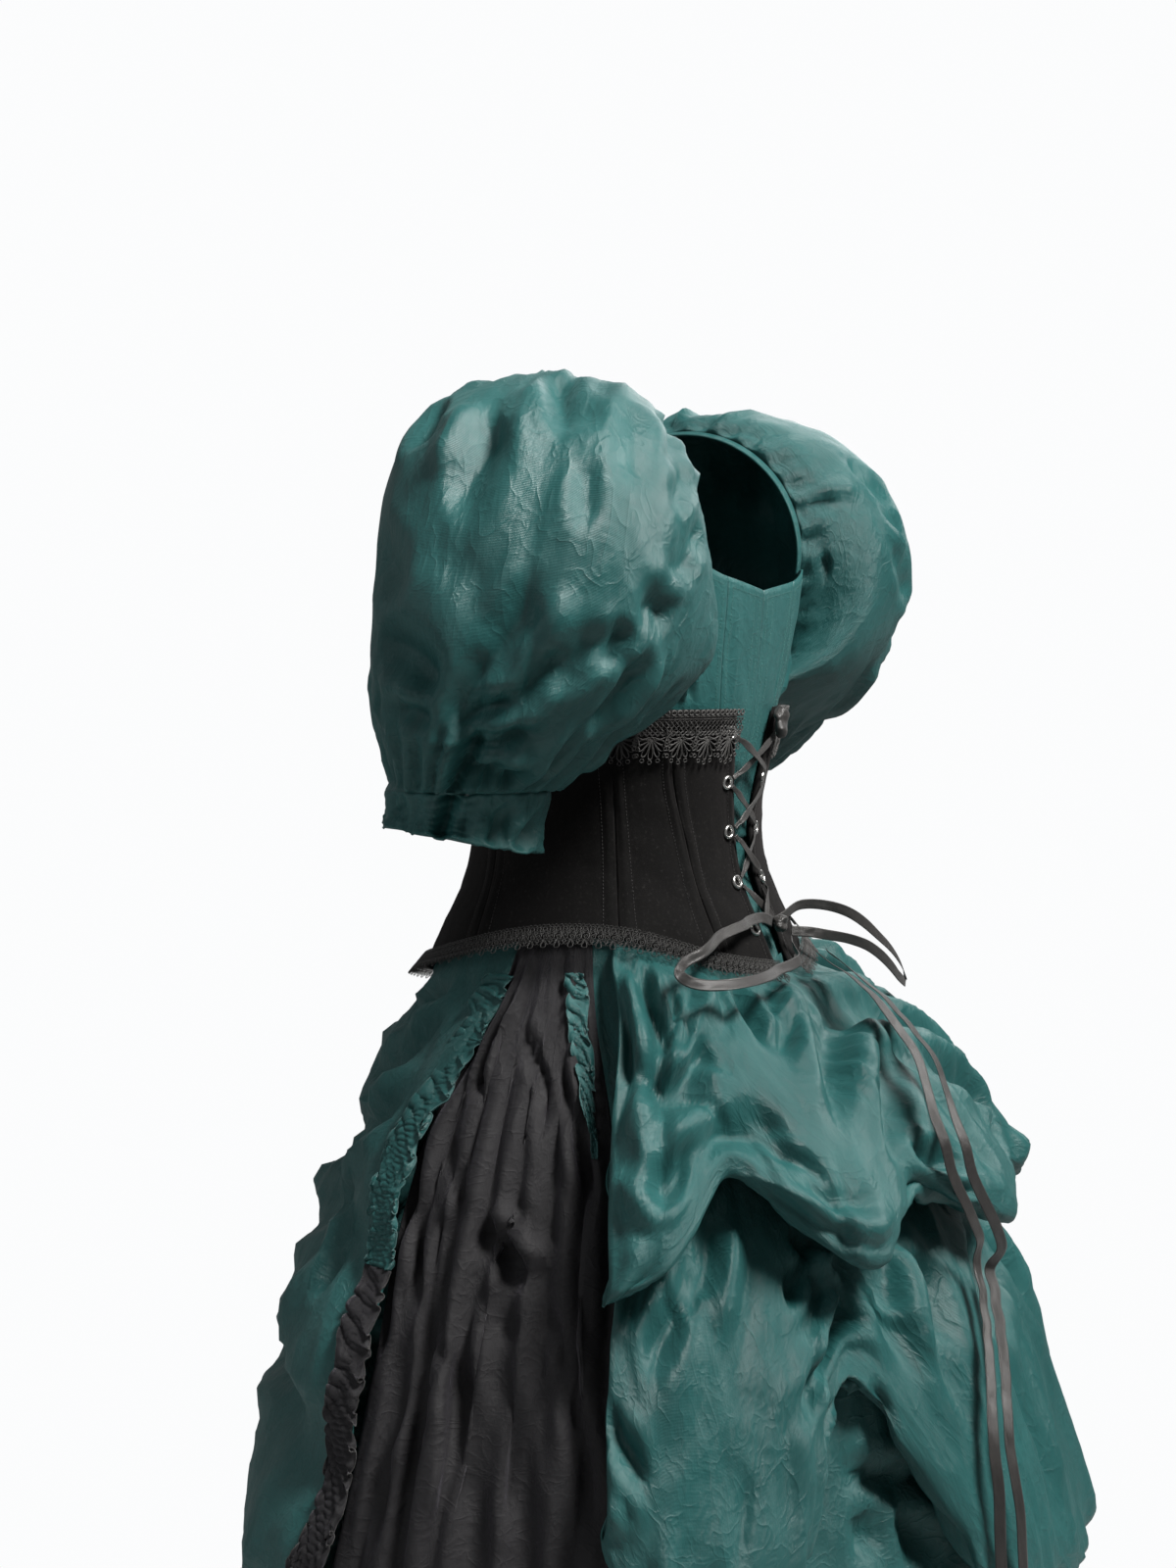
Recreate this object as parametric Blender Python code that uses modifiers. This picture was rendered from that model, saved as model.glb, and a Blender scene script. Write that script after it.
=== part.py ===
# Bustle dress as worn, with its laced waist cincher
#
# The dress hangs hollow: its wearer faces -Y, the wearer's left is +X, and the origin is the
# centre of the waist. Angles round the body are azimuths in degrees from the centre back (+Y)
# towards the wearer's left (+X), and every panel is an open sheet given its cloth's thickness.

import math

import bmesh
import bpy
from mathutils import Vector

# Driving sizes in metres
CLOTH = 0.0014
VELVET = 0.0024
SEAM = 0.0004
LAYER = 0.0016
RIBBON_WIDTH = 0.008
RIBBON = 0.001
HEM_Z = -1.05
CINCHER_TOP = 0.1
EYELET_RADIUS = 0.0042
EYELET_WIRE = 0.0013
LACE_OFF = 0.0018
LACE_TOP_DEPTH = 0.042
LACE_TOP_PITCH = 0.025
LACE_HEM_DEPTH = 0.02
LACE_HEM_PITCH = 0.022

# Cincher's outer surface: height, half width, half depth to the back and to the front, squareness
FIGURE = (
    (-0.125, 0.160, 0.154, 0.156, 2.2),
    (-0.100, 0.151, 0.143, 0.146, 2.2),
    (-0.065, 0.138, 0.127, 0.130, 2.2),
    (-0.030, 0.126, 0.112, 0.114, 2.2),
    (0.000, 0.121, 0.107, 0.109, 2.2),
    (0.030, 0.122, 0.108, 0.111, 2.2),
    (0.065, 0.129, 0.113, 0.120, 2.3),
    (0.100, 0.138, 0.119, 0.132, 2.4),
    (0.150, 0.150, 0.124, 0.142, 2.8),
    (0.200, 0.158, 0.127, 0.138, 3.2),
    (0.250, 0.160, 0.124, 0.128, 3.2),
)

# Plain skirt's outer surface below the waist: height, half width, half depth back and front
SKIRT = (
    (-0.100, 0.145, 0.136, 0.139),
    (-0.150, 0.172, 0.172, 0.162),
    (-0.200, 0.200, 0.205, 0.182),
    (-0.270, 0.234, 0.242, 0.208),
    (-0.360, 0.270, 0.280, 0.230),
    (-0.500, 0.315, 0.318, 0.255),
    (-0.750, 0.386, 0.415, 0.325),
    (HEM_Z, 0.460, 0.520, 0.400),
)

# Cincher's lower edge: azimuth, height
CINCHER_HEM = ((0, -0.102), (30, -0.088), (62, -0.066), (92, -0.068), (130, -0.092), (180, -0.122))

# Bodice's upper edge: azimuth, height
NECKLINE = ((0, 0.189), (28, 0.198), (50, 0.208), (64, 0.176), (90, 0.134), (114, 0.172),
            (128, 0.226), (154, 0.224), (180, 0.178))

# Edges of the black side panel: height, azimuth of its back edge, azimuth of its front edge
SIDE_PANEL = ((0.0, 73, 92), (-0.1, 70, 98), (-0.2, 64, 106), (-0.36, 63, 103), (-0.5, 63, 103), (HEM_Z, 62, 108))

# Cincher seams: height, azimuths of the centre-back edge and of the two seams beside it
CINCHER_SEAMS = ((-0.11, 5.0, 27.0, 62.0), (0.0, 7.5, 37.0, 64.0), (0.05, 12.0, 44.0, 65.0), (0.1, 17.0, 46.0, 66.0))
FRONT_SEAM = 112.0
FRONT_EDGE = 179.6

# Cross-section of a drawn-up puff: share of its path, share of its drop, share of its bulge
PUFF = ((0.0, 0.0, 0.0), (0.111, 0.085, 0.0), (0.222, 0.19, 0.3), (0.333, 0.34, 0.6), (0.444, 0.53, 0.82),
        (0.556, 0.73, 0.96), (0.667, 0.9, 1.0), (0.778, 1.0, 0.86), (0.889, 0.99, 0.54), (1.0, 0.93, 0.34))

# Lower lips of the puffs, mirrored across the centre back: azimuth, lip height, share of the bulge
UPPER_LIP = ((0, -0.268, 1.0), (18, -0.238, 0.84), (31, -0.272, 1.0), (46, -0.214, 0.62), (56, -0.262, 0.85),
             (64, -0.290, 0.5))
LOWER_LIP = ((0, -0.520, 1.0), (16, -0.490, 0.95), (31, -0.352, 0.55), (44, -0.455, 0.95), (57, -0.475, 0.9),
             (64, -0.430, 0.5))
UPPER_BULGE = 0.072
LOWER_BULGE = 0.046

# Sleeve rings down the arm: centre x, y, z, tilt of the ring's plane, half height, half depth
SLEEVE = (
    (0.130, 0.000, 0.230, -8, 0.096, 0.100),
    (0.142, 0.010, 0.234, -4, 0.105, 0.112),
    (0.162, 0.028, 0.226, 15, 0.112, 0.118),
    (0.185, 0.040, 0.205, 38, 0.112, 0.120),
    (0.210, 0.043, 0.163, 62, 0.100, 0.118),
    (0.226, 0.034, 0.120, 78, 0.088, 0.108),
    (0.234, 0.018, 0.080, 86, 0.070, 0.084),
    (0.236, 0.004, 0.048, 90, 0.054, 0.058),
)
# Lower sleeve flounce, from the gathering line to its hem
FLOUNCE = (
    (0.236, 0.004, 0.048, 90, 0.054, 0.058),
    (0.237, 0.001, 0.024, 90, 0.051, 0.053),
    (0.238, 0.000, 0.006, 90, 0.053, 0.055),
)
CHANNEL_LIFT = 0.014
# How much squarer than an oval the balloon is at its fullest
BALLOON_SQUARENESS = 0.7
# The right sleeve hangs a little forward and lower
RIGHT_SWING = 0.05
RIGHT_DROP = 0.01
EYELET_HEIGHTS = (0.083, 0.045, 0.007, -0.031, -0.066)
EYELET_INSET = 0.0105
# Clearance of the lacing from the velvet: the lower strand, and the upper one of each crossing
LACING_UNDER = 0.0014
LACING_OVER = (0.0037, 0.0037, 0.0037, 0.0056)

# Front swags: height of the lip at the centre front, depth
FRONT_SWAGS = ((-0.165, 0.014), (-0.295, 0.022), (-0.43, 0.022))
SKIRT_ROWS = (0.0, 0.03, 0.062, 0.095, 0.124, 0.16, 0.205, 0.27, 0.35, 0.44, 0.56, 0.72, 0.88, 1.05)

# Lacing ribbon's tails: azimuth, height, clearance from the puffs
TAILS = (
    ((-3, -0.082, 0.012), (0, -0.100, 0.010), (5, -0.122, 0.006), (9, -0.148, 0.005), (14, -0.180, 0.005),
     (14, -0.215, 0.005), (11, -0.250, 0.006), (7, -0.290, 0.007), (10, -0.325, 0.006), (13, -0.360, 0.005),
     (16, -0.400, 0.005), (17, -0.450, 0.005), (16.5, -0.520, 0.006), (16, -0.590, 0.006), (17, -0.660, 0.006)),
    ((-5.3, -0.084, 0.015), (-2.1, -0.104, 0.0113), (1.8, -0.126, 0.008), (5.5, -0.150, 0.007), (10.5, -0.182, 0.007),
     (11, -0.217, 0.007), (8.2, -0.252, 0.008), (4.3, -0.292, 0.009), (7.4, -0.327, 0.008), (10.6, -0.362, 0.007),
     (13.6, -0.402, 0.007), (14.6, -0.452, 0.007), (14, -0.522, 0.008), (13.4, -0.585, 0.008), (14, -0.640, 0.008)),
)

# Bow loops: azimuth, height, clearance from the cincher
LEFT_LOOP = ((1.4, -0.062, 0.0024), (12, -0.056, 0.008), (24, -0.058, 0.010), (38, -0.066, 0.012), (50, -0.080, 0.014),
             (46, -0.090, 0.020), (30, -0.088, 0.024), (14, -0.084, 0.020), (4, -0.074, 0.012))
RIGHT_LOOP = ((-1.4, -0.062, 0.0064), (-14, -0.052, 0.022), (-24, -0.060, 0.046), (-33, -0.088, 0.064),
              (-40, -0.122, 0.078), (-35, -0.118, 0.068), (-24, -0.086, 0.048), (-13, -0.074, 0.026), (-5, -0.070, 0.012))

# Colour, roughness and metallic value of each material
MATERIALS = {
    "teal_sateen": ((0.020, 0.107, 0.095), 0.5, 0.0),
    "black_cotton": ((0.007, 0.006, 0.008), 0.7, 0.0),
    "black_velvet": ((0.003, 0.003, 0.003), 0.95, 0.0),
    "black_lace": ((0.016, 0.015, 0.014), 0.8, 0.0),
    "black_satin": ((0.030, 0.027, 0.025), 0.35, 0.0),
    "eyelet_metal": ((0.75, 0.75, 0.74), 0.25, 1.0),
}


def smooth(t):
    """Ease from 0 to 1."""
    t = min(1.0, max(0.0, t))
    return t * t * (3.0 - 2.0 * t)


def read_table(table, key, column):
    """Value of one column at a key, eased between the table's rows, with keys in either order."""
    rows = sorted(table)
    if key <= rows[0][0]:
        return rows[0][column]
    for low, high in zip(rows, rows[1:]):
        if key <= high[0]:
            share = (key - low[0]) / (high[0] - low[0])
            before = rows[max(0, rows.index(low) - 1)]
            after = rows[min(len(rows) - 1, rows.index(high) + 1)]
            slope_low = (high[column] - before[column]) / max(1e-9, high[0] - before[0]) * (high[0] - low[0])
            slope_high = (after[column] - low[column]) / max(1e-9, after[0] - low[0]) * (high[0] - low[0])
            a, b = low[column], high[column]
            square, cube = share * share, share * share * share
            return ((2 * cube - 3 * square + 1) * a + (cube - 2 * square + share) * slope_low
                    + (3 * square - 2 * cube) * b + (cube - square) * slope_high)
    return rows[-1][column]


def ring_radius(azimuth, side, back, front, squareness=2.0):
    """Radius of an oval section at an azimuth in degrees."""
    across = abs(math.sin(math.radians(azimuth)))
    along = math.cos(math.radians(azimuth))
    depth = back if along > 0 else front
    return ((across / side) ** squareness + (abs(along) / depth) ** squareness) ** (-1.0 / squareness)


def at(azimuth, radius, z):
    """Point at an azimuth, a radius and a height."""
    return Vector((radius * math.sin(math.radians(azimuth)), radius * math.cos(math.radians(azimuth)), z))


def figure_radius(azimuth, z):
    """Radius of the cincher's outer surface."""
    row = [read_table(FIGURE, z, column) for column in (1, 2, 3, 4)]
    return ring_radius(azimuth, *row)


def bodice_radius(azimuth, z):
    """Radius of the bodice's outer surface, with its cups rounded out by their darts."""
    turn = abs((azimuth + 180) % 360 - 180)
    cup = math.exp(-(((turn - 148) / 21) ** 2 + ((z - 0.174) / (0.03 if z < 0.174 else 0.045)) ** 2))
    return figure_radius(azimuth, z) - VELVET - LAYER + 0.022 * cup


def skirt_radius(azimuth, z):
    """Radius of the plain skirt's outer surface."""
    under = figure_radius(azimuth, z) - VELVET - 2 * LAYER - CLOTH
    if z >= -0.1:
        return under
    flared = ring_radius(azimuth, *[read_table(SKIRT, z, column) for column in (1, 2, 3)])
    return max(flared, under) if z > -0.12 else flared


def cincher_hem(azimuth):
    """Height of the cincher's lower edge."""
    return read_table(CINCHER_HEM, abs((azimuth + 180) % 360 - 180), 1)


def puff_point(azimuth, along, top, lips, bulge, rest):
    """Point on a drawn-up puff, from its seam (along 0) over its lip to its tacked edge (along 1)."""
    turn = abs(azimuth)
    lip = read_table(lips, turn, 1)
    share = read_table(lips, turn, 2)
    start = top(azimuth)
    z = start + (lip - start) * read_table(PUFF, along, 1)
    out = rest * smooth((along - 0.111) / 0.3) + bulge * share * read_table(PUFF, along, 2)
    return z, skirt_radius(azimuth, z) + LAYER + CLOTH + out


def upper_puff(azimuth, along):
    """Point on the upper back puff."""
    return puff_point(azimuth, along, lambda turn: cincher_hem(turn) + 0.012, UPPER_LIP, UPPER_BULGE, 0.012)


def lower_puff(azimuth, along):
    """Point on the lower back puff, which starts beneath the upper one."""
    return puff_point(azimuth, along, lambda turn: -0.195, LOWER_LIP, LOWER_BULGE, 0.0)


def outer_radius(azimuth, z):
    """Radius of the outermost cloth of the back at a height."""
    found = [skirt_radius(azimuth, z), figure_radius(azimuth, max(z, cincher_hem(azimuth)))]
    for puff in (upper_puff, lower_puff):
        points = [puff(azimuth, step / 30) for step in range(31)]
        found += [radius for height, radius in points if abs(height - z) < 0.02]
    return max(found) + 0.004


def material(name):
    """Find or make a plain material."""
    made = bpy.data.materials.get(name)
    if made:
        return made
    made = bpy.data.materials.new(name)
    made.use_nodes = True
    colour, roughness, metallic = MATERIALS[name]
    shader = made.node_tree.nodes["Principled BSDF"]
    shader.inputs["Base Color"].default_value = (*colour, 1.0)
    shader.inputs["Roughness"].default_value = roughness
    shader.inputs["Metallic"].default_value = metallic
    return made


def add_object(name, mesh, slot):
    """Link a mesh as one named piece."""
    piece = bpy.data.objects.new(name, mesh)
    bpy.data.collections["bustle_dress"].objects.link(piece)
    mesh.materials.append(material(slot))
    return piece


def sheet(name, slot, columns, rows, place, thickness=CLOTH, closed=False, flip=False):
    """Loft an open sheet from place(across, down), each from 0 to 1, and give it thickness inwards."""
    shape = bmesh.new()
    count = columns if closed else columns + 1
    grid = [[shape.verts.new(place(column / columns, row / rows)) for column in range(count)]
            for row in range(rows + 1)]
    for upper, lower in zip(grid, grid[1:]):
        for column in range(columns):
            after = (column + 1) % count
            corners = [upper[column], upper[after], lower[after], lower[column]]
            shape.faces.new(corners[::-1] if flip else corners)
    mesh = bpy.data.meshes.new(name)
    shape.to_mesh(mesh)
    shape.free()
    mesh.shade_smooth()
    piece = add_object(name, mesh, slot)
    wall = piece.modifiers.new("wall", "SOLIDIFY")
    wall.thickness = thickness
    wall.offset = -1.0
    return piece


def clear_of_body(point):
    """The point itself, or the nearest place beside it where sleeve cloth lies against the bodice."""
    azimuth = math.degrees(math.atan2(point.x, point.y))
    turn = abs(azimuth)
    if point.z > read_table(NECKLINE, turn, 1) + 0.012:
        return point
    lace_room = 0.007 * smooth((0.122 - point.z) / 0.012)
    clear = bodice_radius(turn, point.z) + 0.001 + CLOTH + lace_room
    return at(azimuth, max(clear, math.hypot(point.x, point.y)), point.z)


def mirrored(place, swing=False):
    """The same place on the wearer's right, running the same way round."""
    def other(across, down):
        point = place(1.0 - across, down)
        lowered = smooth((0.25 - point.z) / 0.22) if swing else 0.0
        moved = Vector((-point.x, point.y - RIGHT_SWING * lowered, point.z - RIGHT_DROP * lowered))
        return clear_of_body(moved) if swing else moved
    return other


def seam_turn(z, azimuth):
    """Half a seam's gap as an angle."""
    return math.degrees(0.5 * SEAM / figure_radius(azimuth, z))


def pair(name, slot, columns, rows, place, thickness=CLOTH, closed=False, flip=False, swing=False):
    """A left piece and its mirror image, which the right arm's pose may swing."""
    sheet(name + "_left", slot, columns, rows, place, thickness, closed, flip)
    sheet(name + "_right", slot, columns, rows, mirrored(place, swing), thickness, closed, flip)


def strip_place(edges, heights, radius):
    """Place function of a panel between two azimuths and two heights."""
    def place(across, down):
        azimuth = edges(0.0)[0] * (1 - across) + edges(0.0)[1] * across
        for _ in range(3):
            top, foot = heights(azimuth)
            z = top + (foot - top) * down
            start, end = edges(z)
            azimuth = start + (end - start) * across
        return at(azimuth, radius(azimuth, z), z)
    return place


def build_bodice():
    """Back and side panels and the front with its two cups, from the waist to the neckline."""
    def heights(azimuth):
        turn = abs((azimuth + 180) % 360 - 180)
        return read_table(NECKLINE, turn, 1), SEAM

    def princess(z):
        return 20.0 + 7.0 * smooth(z / 0.15)

    def side_seam(z):
        return 86.0 + 4.0 * smooth(z / 0.12)

    gap = 0.14
    back = strip_place(lambda z: (gap, princess(z) - gap), heights, bodice_radius)
    side = strip_place(lambda z: (princess(z) + gap, side_seam(z) - gap), heights, bodice_radius)
    front = strip_place(lambda z: (side_seam(z) + gap, 360 - side_seam(z) - gap), heights, bodice_radius)
    pair("bodice_back", "teal_sateen", 4, 6, back)
    pair("bodice_side", "teal_sateen", 7, 6, side)
    sheet("bodice_front", "teal_sateen", 22, 9, front)


def sleeve_point(rings, around, along):
    """Point on the left sleeve, kept clear of the bodice that it lies against."""
    position = along * (len(rings) - 1)
    keyed = [(index, *ring) for index, ring in enumerate(rings)]
    x, y, z, tilt, high, deep = (read_table(keyed, position, column) for column in range(1, 7))
    turn = 2 * math.pi * around
    squareness = 2.0 + (BALLOON_SQUARENESS * math.sin(math.pi * along) if rings is SLEEVE else 0.0)
    fuller = (abs(math.cos(turn)) ** squareness + abs(math.sin(turn)) ** squareness) ** (-1.0 / squareness)
    up = Vector((math.sin(math.radians(tilt)), 0.0, math.cos(math.radians(tilt)))) * high * math.cos(turn)
    aside = Vector((0.0, deep * math.sin(turn), 0.0))
    return clear_of_body(Vector((x, y, z)) + (up + aside) * fuller)


def gathers(around, count, depth):
    """Soft uneven gathers round a ring."""
    return depth * math.cos(2 * math.pi * around * count)


def build_sleeves():
    """Two balloon sleeves gathered to the armhole and to the flounce, the flounces and neck bands."""
    def puff(around, along):
        point = sleeve_point(SLEEVE, around, along)
        centre = Vector(SLEEVE[min(7, round(along * 7))][:3])
        away = (point - centre).normalized()
        fullness = math.sin(math.pi * along) * 0.4 + 0.6 * abs(2 * along - 1) ** 3
        fullness *= smooth(along / 0.11) * smooth((1 - along) / 0.11)
        return clear_of_body(point + away * gathers(around, 12, 0.0022) * fullness)

    def flounce(around, along):
        point = sleeve_point(FLOUNCE, around, along)
        lift = CHANNEL_LIFT * along * (0.5 + 0.5 * math.cos(2 * math.pi * around))
        ripple = gathers(around, 9, 0.0024) * along
        centre = Vector((FLOUNCE[0][0], FLOUNCE[0][1], point.z))
        away = (point - centre).normalized()
        return point + away * ripple + Vector((0, 0, lift - 2 * SEAM * (1 - along)))

    def neck_band(along, across):
        around = -0.252 + 0.54 * along
        point = sleeve_point(SLEEVE, around % 1.0, 0.0)
        inwards = Vector((-0.93, 0.0, -0.37))
        return point + inwards * (SEAM + 0.001 + RIBBON_WIDTH * across)

    pair("sleeve_puff", "teal_sateen", 24, 9, puff, closed=True, flip=True, swing=True)
    pair("sleeve_flounce", "teal_sateen", 24, 2, flounce, closed=True, flip=True, swing=True)
    pair("neck_band", "teal_sateen", 10, 1, neck_band)


def cincher_place(edges):
    """Place function of a cincher panel between two edge azimuths."""
    return strip_place(edges, lambda azimuth: (CINCHER_TOP, cincher_hem(azimuth)), figure_radius)


def build_cincher():
    """Four velvet panels a side, between the laced gap at the back and the centre front."""
    def seam(z, column):
        return read_table(CINCHER_SEAMS, z, column)

    spans = (
        (lambda z: seam(z, 1), lambda z: seam(z, 2)),
        (lambda z: seam(z, 2), lambda z: seam(z, 3)),
        (lambda z: seam(z, 3), lambda z: FRONT_SEAM),
        (lambda z: FRONT_SEAM, lambda z: FRONT_EDGE),
    )
    for number, (start, end) in enumerate(spans, 1):
        def edges(z, start=start, end=end):
            return start(z) + seam_turn(z, 45), end(z) - seam_turn(z, 45)
        columns = (4, 4, 6, 10)[number - 1]
        pair(f"cincher_panel_{number}", "black_velvet", columns, 7, cincher_place(edges), VELVET)


def lace(name, upper, depth, pitch, flare):
    """Scalloped lace along an edge of the cincher, standing just off the velvet."""
    length = math.radians(150) * 0.128
    scallops = round(length * 1.12 / pitch)

    def place(across, down):
        start = read_table(CINCHER_SEAMS, 0.08 if upper else -0.1, 1) + 0.4
        azimuth = start + (FRONT_EDGE - 0.3 - start) * across
        lobe = abs(math.sin(math.pi * across * scallops))
        reach = depth * (0.82 + 0.18 * lobe ** 0.7) * down
        top = CINCHER_TOP + 0.0005 if upper else cincher_hem(azimuth) + 0.01
        z = top - reach
        out = LACE_OFF + flare * smooth((down - 0.3) / 0.7)
        rippled = 0.001 * math.cos(2 * math.pi * across * scallops) * down * (0 if upper else 1)
        return at(azimuth, figure_radius(azimuth, z if upper else max(z, cincher_hem(azimuth))) + out + rippled, z)

    pair(name, "black_lace", scallops * 3, 2 if upper else 1, place, 0.001)


def eyelet_azimuth(z):
    """Azimuth of the eyelets beside the laced edge."""
    return read_table(CINCHER_SEAMS, z, 1) + math.degrees(EYELET_INSET / figure_radius(10, z))


def build_eyelets():
    """Five metal eyelets a side along the laced edges."""
    for row, z in enumerate(EYELET_HEIGHTS, 1):
        for side, name in ((1, "left"), (-1, "right")):
            azimuth = side * eyelet_azimuth(z)
            step = 0.004
            up = at(azimuth, figure_radius(azimuth, z + step), z + step)
            low = at(azimuth, figure_radius(azimuth, z - step), z - step)
            tangent = Vector((math.cos(math.radians(azimuth)), -math.sin(math.radians(azimuth)), 0))
            normal = (up - low).cross(tangent).normalized()
            normal = normal if normal.dot(at(azimuth, 1, 0)) > 0 else -normal
            lifted = EYELET_WIRE + (0.0014 if row == 4 else 0.0011) + (LACE_OFF if row == 1 else 0.0)
            centre = at(azimuth, figure_radius(azimuth, z), z) + normal * lifted
            bpy.ops.mesh.primitive_torus_add(major_segments=8, minor_segments=4, major_radius=EYELET_RADIUS,
                                             minor_radius=EYELET_WIRE, location=centre,
                                             rotation=normal.to_track_quat("Z", "Y").to_euler())
            ring = bpy.context.object
            ring.name = f"eyelet_{row}_{name}"
            ring.data.materials.append(material("eyelet_metal"))
            for owner in list(ring.users_collection):
                owner.objects.unlink(ring)
            bpy.data.collections["bustle_dress"].objects.link(ring)


def ribbon(name, route, steps, width=RIBBON_WIDTH, thickness=RIBBON):
    """Flat ribbon along a route(share), which gives a centre and the direction across it."""
    def place(along, across):
        centre, side = route(along)
        return centre + side * width * (across - 0.5)
    return sheet(name, "black_satin", steps, 1, place, thickness)


def build_lacing():
    """Lacing that crosses the gap between each pair of eyelet rows, left over right in turn."""
    for row, (high, low) in enumerate(zip(EYELET_HEIGHTS, EYELET_HEIGHTS[1:]), 1):
        for side, name in ((1, "left"), (-1, "right")):
            over = (side > 0) == (row % 2 == 1)
            lift = (LACING_OVER[row - 1] if over else LACING_UNDER) + (0.0011 if row == 1 else 0.0)

            def route(along, side=side, high=high, low=low, lift=lift):
                rise = side * (eyelet_azimuth(high) - 4.2)
                fall = -side * (eyelet_azimuth(low) - 4.2)
                azimuth = rise + (fall - rise) * along
                z = high - 0.005 + (low - high + 0.01) * along
                run = at(fall, 0.11, low) - at(rise, 0.11, high)
                centre = at(azimuth, figure_radius(azimuth, z) + lift, z)
                across = run.normalized().cross(at(azimuth, 1, 0)).normalized()
                across = across if across.z > 0 else -across
                return centre, -across * side
            ribbon(f"lacing_{row}_{name}", route, 6, RIBBON_WIDTH * 0.7)


def knot(name, centre, size):
    """Soft knot: a ball drawn in a little about its middle."""
    bpy.ops.mesh.primitive_uv_sphere_add(segments=10, ring_count=6, radius=1.0, location=centre)
    ball = bpy.context.object
    ball.name = name
    ball.scale = size
    bpy.ops.object.transform_apply(location=False, rotation=False, scale=True)
    ball.data.materials.append(material("black_satin"))
    for owner in list(ball.users_collection):
        owner.objects.unlink(ball)
    bpy.data.collections["bustle_dress"].objects.link(ball)


def build_bow():
    """Upper knot, lower knot, the bow's two loops and the ribbon's two tails."""
    knot("upper_knot", at(-15, figure_radius(15, 0.088) + 0.0084, 0.089), (0.008, 0.0055, 0.013))
    knot("bow_knot", at(0, figure_radius(0, -0.064) + 0.0117, -0.063), (0.0075, 0.0055, 0.0065))

    def follow(points, radius):
        keyed = [(index, *point) for index, point in enumerate(points)]

        def route(along):
            def spot(share):
                position = min(1.0, max(0.0, share)) * (len(points) - 1)
                azimuth, z, clear = (read_table(keyed, position, column) for column in (1, 2, 3))
                return at(azimuth, radius(azimuth, z) + clear, z)
            here = spot(along)
            run = (spot(along + 0.01) - spot(along - 0.01)).normalized()
            away = Vector((here.x, here.y, 0.0)).normalized()
            side = run.cross(away).normalized()
            return here, side
        return route

    ribbon("bow_loop_left", follow(LEFT_LOOP, outer_radius), 18)
    ribbon("bow_loop_right", follow(RIGHT_LOOP, figure_radius), 18)
    for number, points in enumerate(TAILS, 1):
        ribbon(f"ribbon_tail_{number}", follow(points, outer_radius), 24)


def fold_depth(azimuth, z, count, depth):
    """Gathers that start at the waist and deepen down the skirt."""
    return depth * smooth((-0.09 - z) / 0.12) * math.cos(math.radians(azimuth) * count)


def front_swag(azimuth, z):
    """Fullness of the front, drawn up in three swags that fall towards the hips."""
    turn = abs(azimuth - 180)
    total = 0.0
    for drop, depth in FRONT_SWAGS:
        lip = drop - 0.075 * smooth(turn / 80)
        below = (z - lip) / 0.075
        total += depth * (smooth(1.0 + below) if below < 0 else smooth(1.2 - below))
    return total * smooth((-0.124 - z) / 0.05) * smooth((84 - turn) / 22 + 0.25)


def build_skirt():
    """Tube of four panels from the waist seam to the hem."""
    def heights(azimuth):
        return -SEAM, HEM_Z

    def edge(z, column, offset):
        turn = math.degrees(0.5 * SEAM / max(0.1, skirt_radius(80, z)))
        return read_table(SIDE_PANEL, z, column) + offset * turn

    def back_radius(azimuth, z):
        lower = smooth((-0.5 - z) / 0.12)
        return skirt_radius(azimuth, z) + lower * (0.012 * math.cos(math.radians(azimuth) * 17) + 0.006)

    def side_radius(azimuth, z):
        middle = smooth((azimuth - edge(z, 1, 1)) / 5) * smooth((edge(z, 2, -1) - azimuth) / 5)
        return skirt_radius(azimuth, z) + middle * fold_depth(azimuth, z, 60, 0.0045)

    def front_radius(azimuth, z):
        return skirt_radius(azimuth, z) + front_swag(azimuth, z)

    def stepped(place):
        """The same place with its rows at the heights in SKIRT_ROWS."""
        def other(across, down):
            position = down * (len(SKIRT_ROWS) - 1)
            index = min(len(SKIRT_ROWS) - 2, int(position + 1e-6))
            share = position - index
            depth = SKIRT_ROWS[index] + (SKIRT_ROWS[index + 1] - SKIRT_ROWS[index]) * share
            return place(across, depth / -HEM_Z)
        return other

    back = strip_place(lambda z: (-edge(z, 1, -1), edge(z, 1, -1)), heights, back_radius)
    side = strip_place(lambda z: (edge(z, 1, 1), edge(z, 2, -1)), heights, side_radius)
    front = strip_place(lambda z: (edge(z, 2, 1), 360 - edge(z, 2, 1)), heights, front_radius)
    rows = len(SKIRT_ROWS) - 1
    sheet("skirt_back", "teal_sateen", 20, rows, stepped(back))
    pair("skirt_side", "black_cotton", 14, rows, stepped(side))
    sheet("skirt_front", "teal_sateen", 19, rows, stepped(front))


def build_puffs():
    """Two drawn-up puffs over the back of the skirt."""
    for name, puff, columns in (("puff_upper", upper_puff, 26), ("puff_lower", lower_puff, 24)):
        def place(across, down, puff=puff):
            azimuth = -63.5 + 127.0 * across
            z, radius = puff(azimuth, down)
            wave = 0.0035 * math.cos(math.radians(azimuth) * 24) * math.sin(math.pi * min(1.0, down * 1.05)) ** 2
            return at(azimuth, radius + wave, z)
        sheet(name, "teal_sateen", columns, 9, place)


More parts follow.
